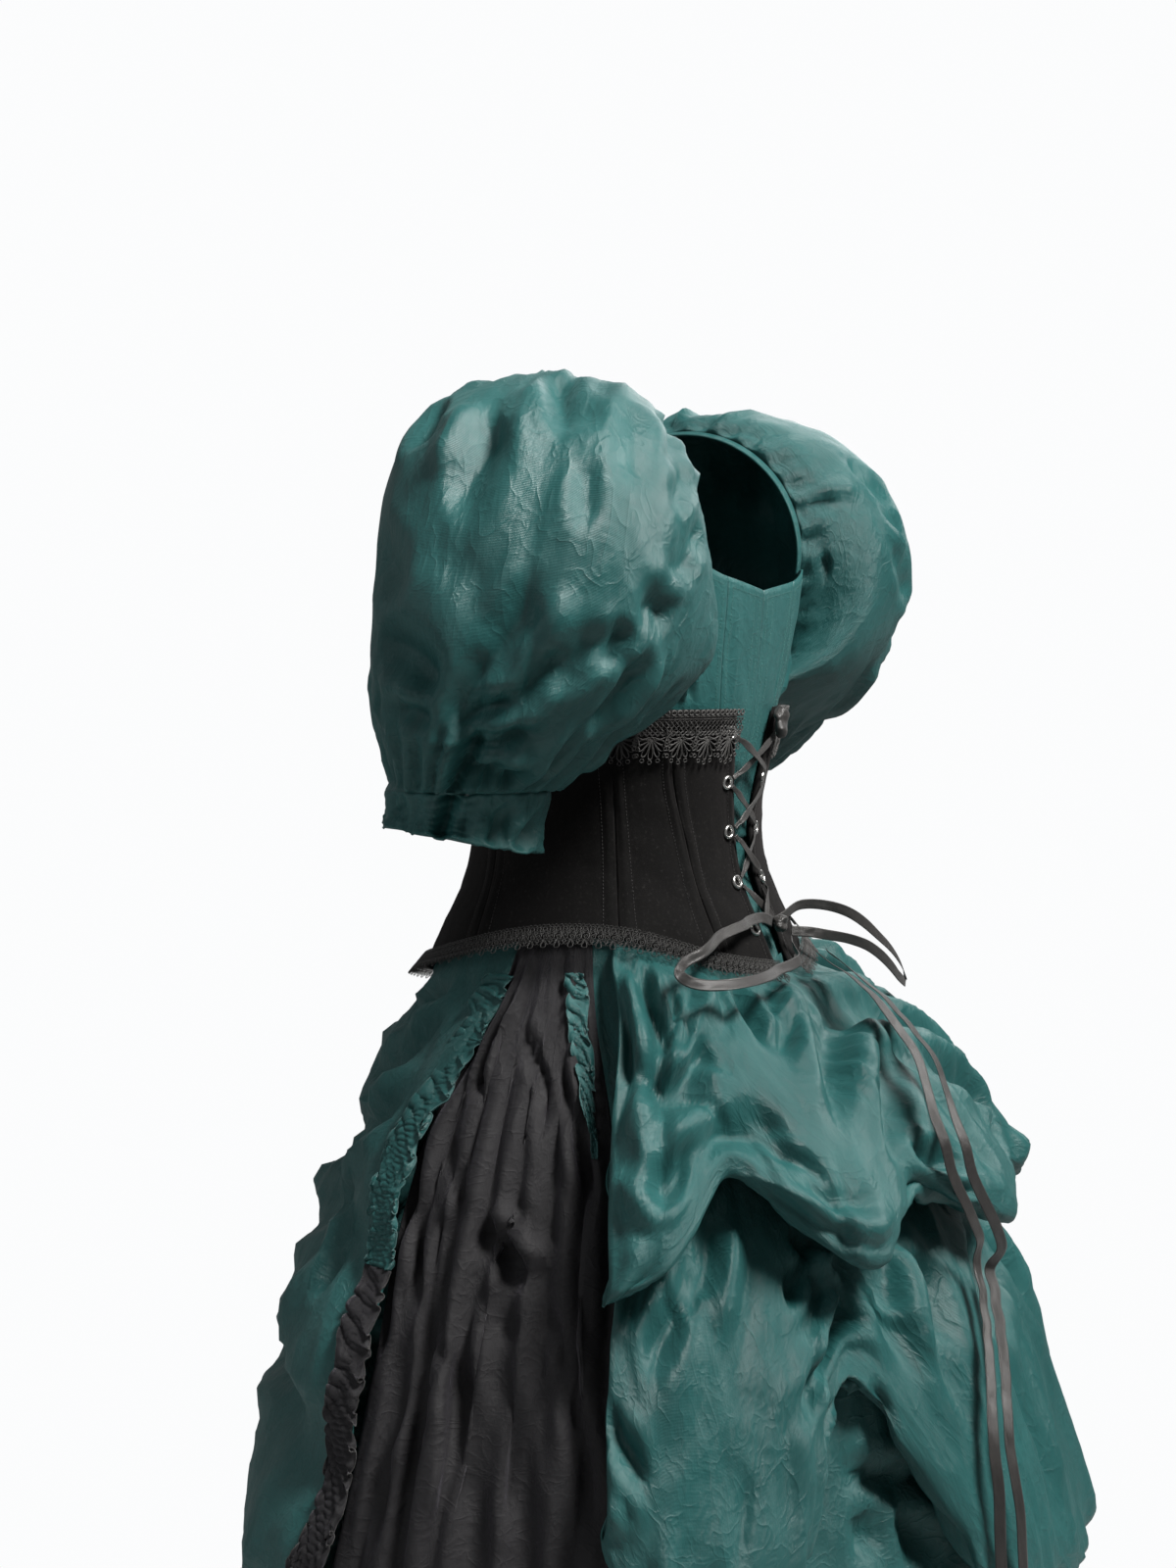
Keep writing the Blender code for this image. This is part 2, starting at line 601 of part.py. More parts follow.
def ruffle(name, slot, column, side_shift, top, foot, waves, width, lift):
    """Gathered strip that stands off an edge of the side panel in small waves."""
    def place(along, across):
        z = top + (foot - top) * along
        edge = read_table(SIDE_PANEL, z, column)
        radius = skirt_radius(edge, z)
        shift = side_shift + width * (across - 0.5)
        azimuth = edge + math.degrees(shift / radius)
        wave = 0.5 + 0.5 * math.sin(2 * math.pi * waves * along)
        fullness = 0.0022 * smooth((-0.09 - z) / 0.12) + front_swag(azimuth, z)
        return at(azimuth, skirt_radius(azimuth, z) + fullness + lift + 0.006 * wave, z)
    pair(name, slot, waves * 3, 1, place, 0.001)


def build_ruffles():
    """Ruffles down both edges of the black side panels."""
    ruffle("ruffle_front_upper", "teal_sateen", 2, 0.006, -0.095, -0.295, 11, 0.028, 0.004)
    ruffle("ruffle_front_lower", "black_cotton", 2, 0.006, -0.2956, -0.98, 18, 0.026, 0.0015)
    ruffle("ruffle_back", "teal_sateen", 1, 0.018, -0.09, -0.21, 6, 0.022, 0.0015)


def main():
    for old in list(bpy.data.objects):
        bpy.data.objects.remove(old, do_unlink=True)
    group = bpy.data.collections.new("bustle_dress")
    bpy.context.scene.collection.children.link(group)
    build_bodice()
    build_sleeves()
    build_cincher()
    lace("lace_top", True, LACE_TOP_DEPTH, LACE_TOP_PITCH, 0.0)
    lace("lace_hem", False, LACE_HEM_DEPTH, LACE_HEM_PITCH, 0.018)
    build_eyelets()
    build_lacing()
    build_bow()
    build_skirt()
    build_puffs()
    build_ruffles()


main()
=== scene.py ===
"""Bustle dress with its laced velvet waist cincher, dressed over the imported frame.

The wearer faces -Y and the wearer's left is +X. Angles round the body are azimuths in degrees
from the centre back (+Y) towards the wearer's left, and lengths are in metres.
"""
import logging
import math
from collections.abc import Callable, Sequence
from dataclasses import dataclass, field
from enum import Enum

import bpy
import numpy as np
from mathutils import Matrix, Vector


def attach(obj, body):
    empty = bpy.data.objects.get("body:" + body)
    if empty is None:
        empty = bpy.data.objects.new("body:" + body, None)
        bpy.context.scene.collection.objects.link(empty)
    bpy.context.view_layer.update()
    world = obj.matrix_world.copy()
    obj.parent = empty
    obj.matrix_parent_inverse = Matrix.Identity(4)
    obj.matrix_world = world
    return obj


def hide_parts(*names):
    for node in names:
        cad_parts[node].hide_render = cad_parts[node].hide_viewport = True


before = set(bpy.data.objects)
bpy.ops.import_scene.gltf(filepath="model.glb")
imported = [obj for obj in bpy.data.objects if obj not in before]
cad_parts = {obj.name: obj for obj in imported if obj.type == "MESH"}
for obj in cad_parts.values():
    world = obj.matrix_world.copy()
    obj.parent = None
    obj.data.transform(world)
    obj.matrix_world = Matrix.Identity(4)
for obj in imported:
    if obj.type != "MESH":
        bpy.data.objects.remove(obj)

Array = np.ndarray
Place = Callable[[Array, Array], Array]
Span = Callable[[Array], tuple[Array, Array]]
log = logging.getLogger("bustle_dress")

# Sizes shared with the solids
CLOTH = 0.0014
VELVET = 0.0024
SEAM = 0.0004
LAYER = 0.0016
RIBBON_WIDTH = 0.008
HEM_Z = -1.05
CINCHER_TOP = 0.1
LACE_OFF = 0.0018
SLEEVE_ROOM = 0.001
LACE_ROOM = 0.007
LACE_TOP = 0.122
EYELET_HEIGHTS = (0.083, 0.045, 0.007, -0.031, -0.066)
EYELET_INSET = 0.0105
LACING_UNDER = 0.0014
LACING_OVER = (0.0037, 0.0037, 0.0037, 0.0056)
RIGHT_SWING = 0.05
RIGHT_DROP = 0.01
BODY = "root"
SIDES = ((1, "left"), (-1, "right"))
THREAD_SIDES = 3

# Limits of the folds, and the section of a crease: a trough with a low shoulder on each side
DEEPEST = 0.019
LOWEST_TROUGH = -0.018
HIGHEST_RIDGE = 0.012
CREASE_WIDTH = 0.8
CREASE_SHARPNESS = 1.3
SHOULDER = 0.32
SHOULDER_PLACE = 1.9
SHOULDER_WIDTH = 0.75

# Columns and rows of each cloth's grid, finer where the photograph shows the cloth
GRIDS = {
    "bodice_back_left": (36, 50), "bodice_back_right": (36, 40),
    "bodice_side_left": (80, 50), "bodice_side_right": (80, 40), "bodice_front": (100, 50),
    "sleeve_puff_left": (184, 122), "sleeve_puff_right": (120, 86),
    "sleeve_flounce_left": (170, 18), "sleeve_flounce_right": (120, 14),
    "neck_band_left": (90, 4), "neck_band_right": (90, 4),
    "skirt_back": (110, 108), "skirt_side_left": (84, 160), "skirt_side_right": (60, 96),
    "skirt_front": (98, 100), "puff_lower": (190, 90), "puff_upper": (200, 94),
}


class Slot(Enum):
    """Material slots of the record."""

    SATEEN = "teal_sateen"
    COTTON = "black_cotton"
    VELVET = "black_velvet"
    LACE = "black_lace"
    METAL = "eyelet_metal"
    SATIN = "black_satin"


class Held(Enum):
    """How a cloth is held."""

    GATHERED = "gathered"
    STRETCHED = "stretched"


def smooth(share: Array | float) -> Array:
    """Ease from 0 to 1."""
    share = np.clip(share, 0.0, 1.0)
    return share * share * (3.0 - 2.0 * share)


@dataclass(frozen=True)
class Table:
    """Columns of values by key, eased between the rows."""

    rows: tuple[tuple[float, ...], ...]

    def read(self, key: Array | float, column: int = 1) -> Array:
        """Read one column.

        Args:
            key: where to read, held within the table's ends.
            column: which value of the rows.

        Returns:
            The value at each key.
        """
        rows = sorted(self.rows)
        keys = np.array([row[0] for row in rows], float)
        values = np.array([row[column] for row in rows], float)
        index = np.arange(len(keys))
        before, after = np.maximum(index - 1, 0), np.minimum(index + 1, len(keys) - 1)
        slopes = (values[after] - values[before]) / (keys[after] - keys[before])
        key = np.clip(np.asarray(key, float), keys[0], keys[-1])
        low = np.clip(np.searchsorted(keys, key, side="left") - 1, 0, len(keys) - 2)
        step = keys[low + 1] - keys[low]
        share = (key - keys[low]) / step
        square, cube = share * share, share * share * share
        return ((2 * cube - 3 * square + 1) * values[low] + (cube - 2 * square + share) * slopes[low] * step
                + (3 * square - 2 * cube) * values[low + 1] + (cube - square) * slopes[low + 1] * step)


def turn_of(azimuth: Array | float) -> Array:
    """Angle from the centre back, the same on both sides."""
    return np.abs((np.asarray(azimuth, float) + 180.0) % 360.0 - 180.0)


def at(azimuth: Array | float, radius: Array | float, z: Array | float) -> Array:
    """Points at azimuths, radii and heights."""
    angle = np.radians(azimuth)
    x, y, z = np.broadcast_arrays(radius * np.sin(angle), radius * np.cos(angle), np.asarray(z, float))
    return np.stack([x, y, z], axis=-1)


def unit(vectors: Array) -> Array:
    """Directions of length 1."""
    return vectors / np.maximum(1e-12, np.linalg.norm(vectors, axis=-1, keepdims=True))


def azimuth_of(points: Array) -> Array:
    """Azimuth of points in degrees."""
    return np.degrees(np.arctan2(points[..., 0], points[..., 1]))


def pairs(first: Array | float, second: Array | float) -> Array:
    """Rows of two numbers, a single number standing for every row."""
    return np.stack(np.broadcast_arrays(first, second), axis=-1)


def steps_of(points: Array, axis: int = 0) -> Array:
    """Lengths of the steps between neighbouring points."""
    return np.linalg.norm(np.diff(points, axis=axis), axis=-1)


def walked_along(line: Array) -> Array:
    """Distance from a line's start to each of its points."""
    return np.concatenate([[0], np.cumsum(steps_of(line))])


@dataclass(frozen=True)
class WornForm:
    """Surfaces that the cloth lies on, as in the solids."""

    figure_rows: Table = Table((
        (-0.125, 0.160, 0.154, 0.156, 2.2), (-0.100, 0.151, 0.143, 0.146, 2.2),
        (-0.065, 0.138, 0.127, 0.130, 2.2), (-0.030, 0.126, 0.112, 0.114, 2.2),
        (0.000, 0.121, 0.107, 0.109, 2.2), (0.030, 0.122, 0.108, 0.111, 2.2),
        (0.065, 0.129, 0.113, 0.120, 2.3), (0.100, 0.138, 0.119, 0.132, 2.4),
        (0.150, 0.150, 0.124, 0.142, 2.8), (0.200, 0.158, 0.127, 0.138, 3.2),
        (0.250, 0.160, 0.124, 0.128, 3.2)))
    skirt_rows: Table = Table((
        (-0.100, 0.145, 0.136, 0.139), (-0.150, 0.172, 0.172, 0.162), (-0.200, 0.200, 0.205, 0.182),
        (-0.270, 0.234, 0.242, 0.208), (-0.360, 0.270, 0.280, 0.230), (-0.500, 0.315, 0.318, 0.255),
        (-0.750, 0.386, 0.415, 0.325), (HEM_Z, 0.460, 0.520, 0.400)))
    hem_rows: Table = Table((
        (0, -0.102), (30, -0.088), (62, -0.066), (92, -0.068), (130, -0.092), (180, -0.122)))
    neck_rows: Table = Table((
        (0, 0.189), (28, 0.198), (50, 0.208), (64, 0.176), (90, 0.134), (114, 0.172), (128, 0.226),
        (154, 0.224), (180, 0.178)))
    puff_rows: Table = Table((
        (0.0, 0.0, 0.0), (0.111, 0.085, 0.0), (0.222, 0.19, 0.3), (0.333, 0.34, 0.6), (0.444, 0.53, 0.82),
        (0.556, 0.73, 0.96), (0.667, 0.9, 1.0), (0.778, 1.0, 0.86), (0.889, 0.99, 0.54), (1.0, 0.93, 0.34)))
    upper_lip: Table = Table((
        (0, -0.268, 1.0), (18, -0.238, 0.84), (31, -0.272, 1.0), (46, -0.214, 0.62), (56, -0.262, 0.85),
        (64, -0.290, 0.5)))
    lower_lip: Table = Table((
        (0, -0.520, 1.0), (16, -0.490, 0.95), (31, -0.352, 0.55), (44, -0.455, 0.95), (57, -0.475, 0.9),
        (64, -0.430, 0.5)))
    upper_bulge: float = 0.072
    lower_bulge: float = 0.046

    def ring(self, azimuth: Array, side: Array, back: Array, front: Array,
             squareness: Array | float) -> Array:
        """Radius of an oval section.

        Args:
            azimuth: where on the section.
            side: its half width.
            back: its half depth to the back.
            front: its half depth to the front.
            squareness: 2 for an ellipse, more for a squarer oval.

        Returns:
            The radius at each azimuth.
        """
        across = np.abs(np.sin(np.radians(azimuth)))
        along = np.cos(np.radians(azimuth))
        depth = np.where(along > 0, back, front)
        return ((across / side) ** squareness + (np.abs(along) / depth) ** squareness) ** (-1.0 / squareness)

    def figure(self, azimuth: Array | float, z: Array | float) -> Array:
        """Radius of the cincher's outer surface."""
        return self.ring(azimuth, *[self.figure_rows.read(z, column) for column in (1, 2, 3, 4)])

    def bodice(self, azimuth: Array | float, z: Array | float) -> Array:
        """Radius of the bodice, with its cups rounded out by their darts."""
        spread = np.where(np.asarray(z) < 0.174, 0.03, 0.045)
        cup = np.exp(-(((turn_of(azimuth) - 148) / 21) ** 2 + ((z - 0.174) / spread) ** 2))
        return self.figure(azimuth, z) - VELVET - LAYER + 0.022 * cup

    def skirt(self, azimuth: Array | float, z: Array | float) -> Array:
        """Radius of the plain skirt."""
        under = self.figure(azimuth, z) - VELVET - 2 * LAYER - CLOTH
        flared = self.ring(azimuth, *[self.skirt_rows.read(z, column) for column in (1, 2, 3)], 2.0)
        lapped = np.where(np.asarray(z) > -0.12, np.maximum(flared, under), flared)
        return np.where(np.asarray(z) >= -0.1, under, lapped)

    def hem(self, azimuth: Array | float) -> Array:
        """Height of the cincher's lower edge."""
        return self.hem_rows.read(turn_of(azimuth))

    def puff(self, azimuth: Array, along: Array, top: Array | float, lips: Table, bulge: float,
             rest: float) -> tuple[Array, Array]:
        """Height and radius of a drawn-up puff.

        Args:
            azimuth: angle round the body.
            along: share of the way from its seam over its lip to its tacked edge.
            top: height of its seam.
            lips: heights and fullness of its lower lip.
            bulge: how far the fullest lip stands off the skirt.
            rest: how far the whole puff stands off below its seam.

        Returns:
            Heights and radii.
        """
        turn = np.abs(azimuth)
        z = top + (lips.read(turn, 1) - top) * self.puff_rows.read(along, 1)
        full = bulge * lips.read(turn, 2) * self.puff_rows.read(along, 2)
        out = rest * smooth((along - 0.111) / 0.3) + full
        return z, self.skirt(azimuth, z) + LAYER + CLOTH + out

    def upper_puff(self, azimuth: Array, along: Array) -> tuple[Array, Array]:
        """Height and radius of the upper back puff."""
        return self.puff(azimuth, along, self.hem(azimuth) + 0.012, self.upper_lip, self.upper_bulge, 0.012)

    def lower_puff(self, azimuth: Array, along: Array) -> tuple[Array, Array]:
        """Height and radius of the lower back puff, which starts beneath the upper one."""
        return self.puff(azimuth, along, -0.195, self.lower_lip, self.lower_bulge, 0.0)

    def outer(self, azimuth: float, z: float) -> float:
        """Radius just outside the outermost cloth of the back."""
        found = [float(self.skirt(azimuth, z)), float(self.figure(azimuth, max(z, float(self.hem(azimuth)))))]
        along = np.linspace(0, 1, 31)
        for puff in (self.upper_puff, self.lower_puff):
            heights, radii = puff(np.full(31, float(azimuth)), along)
            found += [float(radius) for radius in radii[np.abs(heights - z) < 0.02]]
        return max(found) + 0.004


FORM = WornForm()
CINCHER_SEAMS = Table(((-0.11, 5.0, 27.0, 62.0), (0.0, 7.5, 37.0, 64.0), (0.05, 12.0, 44.0, 65.0),
                       (0.1, 17.0, 46.0, 66.0)))
SIDE_PANEL = Table(((0.0, 73, 92), (-0.1, 70, 98), (-0.2, 64, 106), (-0.36, 63, 103), (-0.5, 63, 103),
                    (HEM_Z, 62, 108)))

# Folds of each cloth: their path across and down it, width, depth, and lean to one side
BALLOON_FOLDS = (
    (((.023, .273), (.050, .380), (.073, .440)), 0.010, -0.011, 0.3),
    (((.995, .407), (.986, .473), (.968, .533)), 0.016, -0.009, 0.2),
    (((.927, .340), (.909, .373), (.914, .440)), 0.011, -0.008, 0),
    (((.959, .373), (.955, .440), (.950, .493)), 0.014, 0.005, 0),
    (((.009, .327), (.023, .420), (.027, .487)), 0.012, 0.005, 0),
    (((.068, .253), (.077, .367), (.086, .433)), 0.009, -0.005, 0),
    (((.105, .327), (.123, .413), (.132, .487)), 0.010, -0.004, 0),
    (((.127, .267), (.159, .300), (.168, .413)), 0.009, -0.006, 0),
    (((.186, .307), (.186, .387), (.177, .467)), 0.008, -0.006, 0),
    (((.232, .387), (.214, .460), (.182, .500)), 0.010, -0.005, 0),
    (((.236, .473), (.205, .520), (.177, .533)), 0.008, -0.006, 0),
    (((.223, .600), (.186, .600), (.164, .620)), 0.010, -0.008, 0),
    (((.164, .633), (.159, .673), (.164, .720)), 0.010, -0.009, 0),
    (((.082, .627), (.064, .667), (.036, .713)), 0.016, -0.009, 0.2),
    (((.105, .607), (.095, .653), (.059, .713)), 0.012, 0.005, 0),
    (((.141, .647), (.132, .707), (.114, .767)), 0.012, -0.008, -0.2),
    (((.900, .673), (.964, .713), (.005, .780)), 0.015, -0.017, 0.3),
    (((.905, .627), (.982, .673), (.027, .740)), 0.014, 0.008, 0),
    (((.036, .687), (.036, .747), (.018, .820)), 0.011, -0.009, 0),
    (((.105, .687), (.100, .740), (.082, .787)), 0.010, -0.009, 0),
    (((.200, .673), (.205, .747), (.200, .833)), 0.012, -0.009, 0),
    (((.227, .640), (.227, .720), (.232, .827)), 0.012, 0.006, 0),
    (((.018, .840), (.055, .800), (.100, .787)), 0.008, -0.010, 0),
    (((.023, .867), (.086, .860), (.145, .840)), 0.008, -0.010, 0),
    (((.023, .887), (.086, .940), (.200, .993)), 0.009, -0.011, 0.2),
    (((.273, .927), (.282, .853), (.264, .800)), 0.009, -0.008, 0),
    (((.005, .833), (.973, .807), (.936, .793)), 0.007, -0.008, 0),
    (((.864, .527), (.905, .580), (.955, .627)), 0.010, -0.006, 0),
    (((.091, .460), (.095, .507), (.109, .533)), 0.007, -0.004, 0),
)
FLOUNCE_FOLDS = (
    (((.055, .000), (.045, .000), (.036, .179)), 0.007, -0.006, 0),
    (((.150, .107), (.159, .536), (.132, 1.000)), 0.010, -0.006, 0),
    (((.291, .250), (.241, .679), (.182, 1.000)), 0.008, -0.007, 0),
)
UPPER_PUFF_FOLDS = (
    (((.942, .146), (.938, .285), (.908, .392)), 0.010, -0.012, 0.2),
    (((.977, .169), (.969, .292), (.954, .408)), 0.010, 0.006, 0),
    (((.735, .054), (.765, .238), (.762, .346)), 0.012, -0.012, -0.2),
    (((.819, .115), (.835, .277), (.885, .392)), 0.010, 0.006, 0),
    (((.954, .415), (.900, .438), (.850, .392)), 0.010, -0.010, 0.3),
    (((.438, .138), (.604, .308), (.746, .469)), 0.014, -0.012, 0.2),
    (((.527, .069), (.685, .300), (.769, .462)), 0.012, 0.007, 0),
    (((.519, .292), (.600, .454), (.673, .623)), 0.012, -0.011, 0),
    (((.465, .231), (.612, .408), (.700, .538)), 0.012, 0.007, 0),
    (((.988, .392), (.923, .462), (.862, .615)), 0.008, 0.008, 0.3),
    (((.988, .369), (.942, .408), (.865, .546)), 0.010, -0.009, 0),
    (((.962, .554), (.935, .569), (.908, .585)), 0.010, -0.012, 0),
    (((1.000, .508), (.965, .569), (.935, .592)), 0.010, 0.007, 0),
    (((.988, .423), (.962, .492), (.946, .554)), 0.012, 0.007, 0),
    (((.904, .577), (.850, .592), (.788, .462)), 0.012, -0.008, 0),
    (((.850, .723), (.785, .638), (.700, .638)), 0.009, 0.007, 0),
    (((.823, .592), (.792, .554), (.762, .546)), 0.007, -0.005, 0),
    (((.627, .569), (.600, .615), (.550, .585)), 0.010, -0.008, 0),
    (((.654, .685), (.612, .777), (.562, .800)), 0.010, -0.009, 0),
    (((.435, .200), (.562, .308), (.554, .369)), 0.010, -0.008, 0),
    (((.885, .238), (.904, .308), (.919, .362)), 0.006, -0.005, 0),
    (((.623, .262), (.723, .300), (.758, .338)), 0.006, -0.006, 0),
    (((1.000, .277), (.996, .346), (1.000, .400)), 0.008, -0.006, 0),
)
LOWER_PUFF_FOLDS = (
    (((.665, .292), (.681, .400), (.696, .531)), 0.024, -0.020, 0.2),
    (((.704, .338), (.696, .431), (.731, .623)), 0.014, 0.012, 0),
    (((.600, .292), (.604, .354), (.619, .423)), 0.014, -0.012, 0),
    (((.623, .277), (.635, .362), (.662, .477)), 0.012, 0.010, 0),
    (((.781, .331), (.754, .392), (.723, .369)), 0.010, -0.011, 0),
    (((.808, .385), (.788, .415), (.762, .423)), 0.008, -0.008, 0),
    (((.746, .408), (.750, .469), (.719, .469)), 0.008, 0.007, 0),
    (((.877, .200), (.904, .300), (.931, .377)), 0.018, -0.009, 0),
    (((.842, .223), (.873, .323), (.900, .392)), 0.014, 0.006, 0),
    (((.923, .331), (.950, .377), (.969, .438)), 0.010, -0.007, 0),
    (((.700, .462), (.777, .546), (.850, .462)), 0.010, 0.008, 0),
    (((.708, .515), (.773, .585), (.838, .485)), 0.010, -0.008, 0),
    (((.427, .315), (.492, .362), (.531, .431)), 0.012, -0.010, 0),
    (((.962, .269), (.985, .338), (.992, .408)), 0.010, -0.008, 0),
    (((1.000, .492), (.992, .538), (.958, .554)), 0.010, -0.008, 0),
    (((.773, .608), (.788, .723), (.692, .831)), 0.008, -0.007, 0),
)
BACK_FOLDS = (
    (((.769, .393), (.694, .407), (.569, .427)), 0.012, -0.012, 0),
    (((.944, .440), (.912, .413), (.875, .393)), 0.014, 0.010, 0),
    (((.675, .420), (.662, .447), (.656, .467)), 0.014, -0.014, 0),
    (((.731, .420), (.731, .440), (.738, .453)), 0.014, -0.014, 0),
)
SIDE_FOLDS = (
    (((.858, .113), (.817, .142), (.708, .171)), 0.008, -0.009, 0),
    (((.725, .100), (.725, .138), (.658, .171)), 0.010, 0.007, 0),
    (((.808, .192), (.758, .221), (.608, .246)), 0.010, -0.010, 0),
    (((.617, .246), (.458, .258), (.345, .281)), 0.012, -0.011, 0.2),
    (((.542, .233), (.367, .254), (.225, .267)), 0.010, 0.009, 0),
    (((.817, .200), (.742, .229), (.617, .242)), 0.010, 0.008, 0),
    (((.633, .121), (.358, .158), (.358, .204)), 0.008, -0.008, 0),
    (((.380, .294), (.425, .304), (.467, .312)), 0.010, -0.006, 0),
    (((.290, .291), (.217, .304), (.167, .329)), 0.010, -0.007, 0),
    (((.283, .138), (.183, .183), (.083, .237)), 0.009, -0.008, 0),
    (((.983, .125), (.992, .175), (.983, .229)), 0.009, -0.006, 0),
    (((.983, .158), (.992, .217), (.967, .287)), 0.009, -0.007, 0),
    (((.992, .167), (.917, .242), (.767, .321)), 0.009, -0.007, 0),
    (((.983, .237), (.992, .292), (.958, .342)), 0.009, -0.008, 0),
    (((.617, .317), (.567, .371), (.517, .425)), 0.012, -0.009, 0),
    (((.433, .325), (.358, .379), (.350, .433)), 0.012, -0.009, 0),
    (((.192, .325), (.108, .379), (.075, .438)), 0.010, -0.008, 0),
    (((.875, .321), (.850, .379), (.850, .458)), 0.010, -0.008, 0),
)
FRONT_FOLDS = (
    (((.261, .177), (.172, .159), (.117, .132)), 0.010, -0.010, 0),
    (((.283, .164), (.200, .141), (.089, .109)), 0.010, 0.008, 0),
    (((.217, .209), (.133, .195), (.072, .173)), 0.012, -0.014, 0.3),
    (((.239, .200), (.156, .182), (.094, .159)), 0.010, 0.009, 0),
    (((.311, .141), (.222, .123), (.122, .100)), 0.009, -0.008, 0),
    (((.289, .255), (.183, .223), (.117, .200)), 0.010, -0.009, 0),
    (((.161, .273), (.150, .259), (.117, .241)), 0.010, -0.010, 0),
    (((.094, .305), (.089, .291), (.089, .286)), 0.012, -0.010, 0),
    (((.133, .286), (.122, .273), (.111, .264)), 0.010, 0.008, 0),
)
BODICE_SIDE_FOLDS = (
    (((.375, .345), (.375, .427), (.375, .500)), 0.004, -0.005, 0),
    (((.338, .355), (.338, .436), (.325, .500)), 0.004, 0.004, 0),
    (((.300, .345), (.300, .418), (.287, .500)), 0.004, -0.006, 0),
    (((.225, .318), (.225, .400), (.212, .500)), 0.005, -0.005, 0),
    (((.250, .300), (.250, .400), (.250, .500)), 0.004, 0.005, 0),
)


class Grain:
    """Repeatable smooth noise on a lattice."""

    def __init__(self, seed: int) -> None:
        """Draw the lattice's slopes from a fixed seed."""
        turns = np.random.default_rng(seed).uniform(0, 2 * math.pi, (256, 256))
        self.slopes = np.stack([np.cos(turns), np.sin(turns)], axis=-1)

    def at(self, x: Array, y: Array, period: int = 256) -> Array:
        """Noise from about -1 to 1.

        Args:
            x: places across, in lattice steps.
            y: places down, in lattice steps.
            period: steps after which it repeats across, so that a tube closes.

        Returns:
            The noise at each place.
        """
        column, row = np.floor(x).astype(int), np.floor(y).astype(int)
        fx, fy = x - column, y - row

        def corner(dx: int, dy: int) -> Array:
            slope = self.slopes[((column + dx) % period) % 256, (row + dy) % 256]
            return slope[..., 0] * (fx - dx) + slope[..., 1] * (fy - dy)

        sx, sy = smooth(fx), smooth(fy)
        top = corner(0, 0) * (1 - sx) + corner(1, 0) * sx
        low = corner(0, 1) * (1 - sx) + corner(1, 1) * sx
        return (top * (1 - sy) + low * sy) * 1.5


@dataclass(frozen=True)
class Crease:
    """Soft trough, or ridge where the depth is above 0, along a path on a cloth."""

    path: tuple[tuple[float, float], ...]
    width: float
    depth: float
    lean: float = 0.0
    taper: float = 0.3

    def line(self) -> Array:
        """The path with eased points between the given ones."""
        points = np.array(self.path, float)
        points[:, 0] = np.unwrap(points[:, 0], period=1.0)
        keys = np.linspace(0, 1, len(points))
        fine = np.linspace(0, 1, 4 * (len(points) - 1) + 1)
        columns = [Table(tuple(zip(keys, points[:, axis]))).read(fine) for axis in (0, 1)]
        return np.stack(columns, axis=-1)

    def height(self, across: Array, down: Array, span: tuple[float, float], closed: bool) -> Array:
        """Height above the cloth.

        Args:
            across: places across the cloth, from 0 to 1.
            down: places down the cloth, from 0 to 1.
            span: the cloth's width and length.
            closed: whether it is a tube.

        Returns:
            The height at each place.
        """
        line = self.line()
        offset = across - line[0, 0]
        offset = (offset + 0.5) % 1.0 - 0.5 if closed else offset
        x, y = offset * span[0], (down - line[0, 1]) * span[1]
        run = (line - line[0]) * np.array(span)
        lengths = steps_of(run)
        total = max(1e-9, float(lengths.sum()))
        nearest, signed, share = np.full(x.shape, 1e9), np.zeros(x.shape), np.zeros(x.shape)
        walked = 0.0
        for start, end, length in zip(run, run[1:], lengths):
            along = (end - start) / max(1e-9, length)
            spot = np.clip((x - start[0]) * along[0] + (y - start[1]) * along[1], 0, length)
            dx, dy = x - start[0] - along[0] * spot, y - start[1] - along[1] * spot
            gap = np.hypot(dx, dy)
            closer = gap < nearest
            nearest = np.where(closer, gap, nearest)
            signed = np.where(closer, np.sign(dx * along[1] - dy * along[0]) * gap, signed)
            share = np.where(closer, (walked + spot) / total, share)
            walked += length
        reach = signed / (self.width * (1.0 + self.lean * np.sign(signed)))
        shoulder = SHOULDER * np.exp(-((np.abs(reach) - SHOULDER_PLACE) / SHOULDER_WIDTH) ** 2)
        shape = np.exp(-np.abs(reach) ** CREASE_SHARPNESS) - shoulder
        ends = smooth(share / self.taper) * smooth((1 - share) / self.taper)
        return self.depth * shape * ends


@dataclass(frozen=True)
class Wrinkles:
    """Small uneven wrinkles all over a cloth."""

    depth: float
    across: float
    down: float
    seed: int
    ridged: bool = False
    bend: float = 0.6

    def height(self, across: Array, down: Array, span: tuple[float, float], closed: bool) -> Array:
        """Height above the cloth, with the arguments of a crease's."""
        period = max(1, round(span[0] / self.across))
        step = period / span[0] if closed else 1.0 / self.across
        x, y = across * span[0] * step, down * span[1] / self.down
        grain = Grain(self.seed)
        drift = grain.at(x * 0.5, y * 0.5 + 31.7, max(1, period // 2) if closed and period % 2 == 0 else 256)
        drift = drift if not closed or period % 2 == 0 else 0.0
        value = grain.at(x + self.bend * drift, y + self.bend * drift, period if closed else 256)
        return self.depth * ((1 - 2.4 * np.abs(value)) * 0.5 if self.ridged else value)


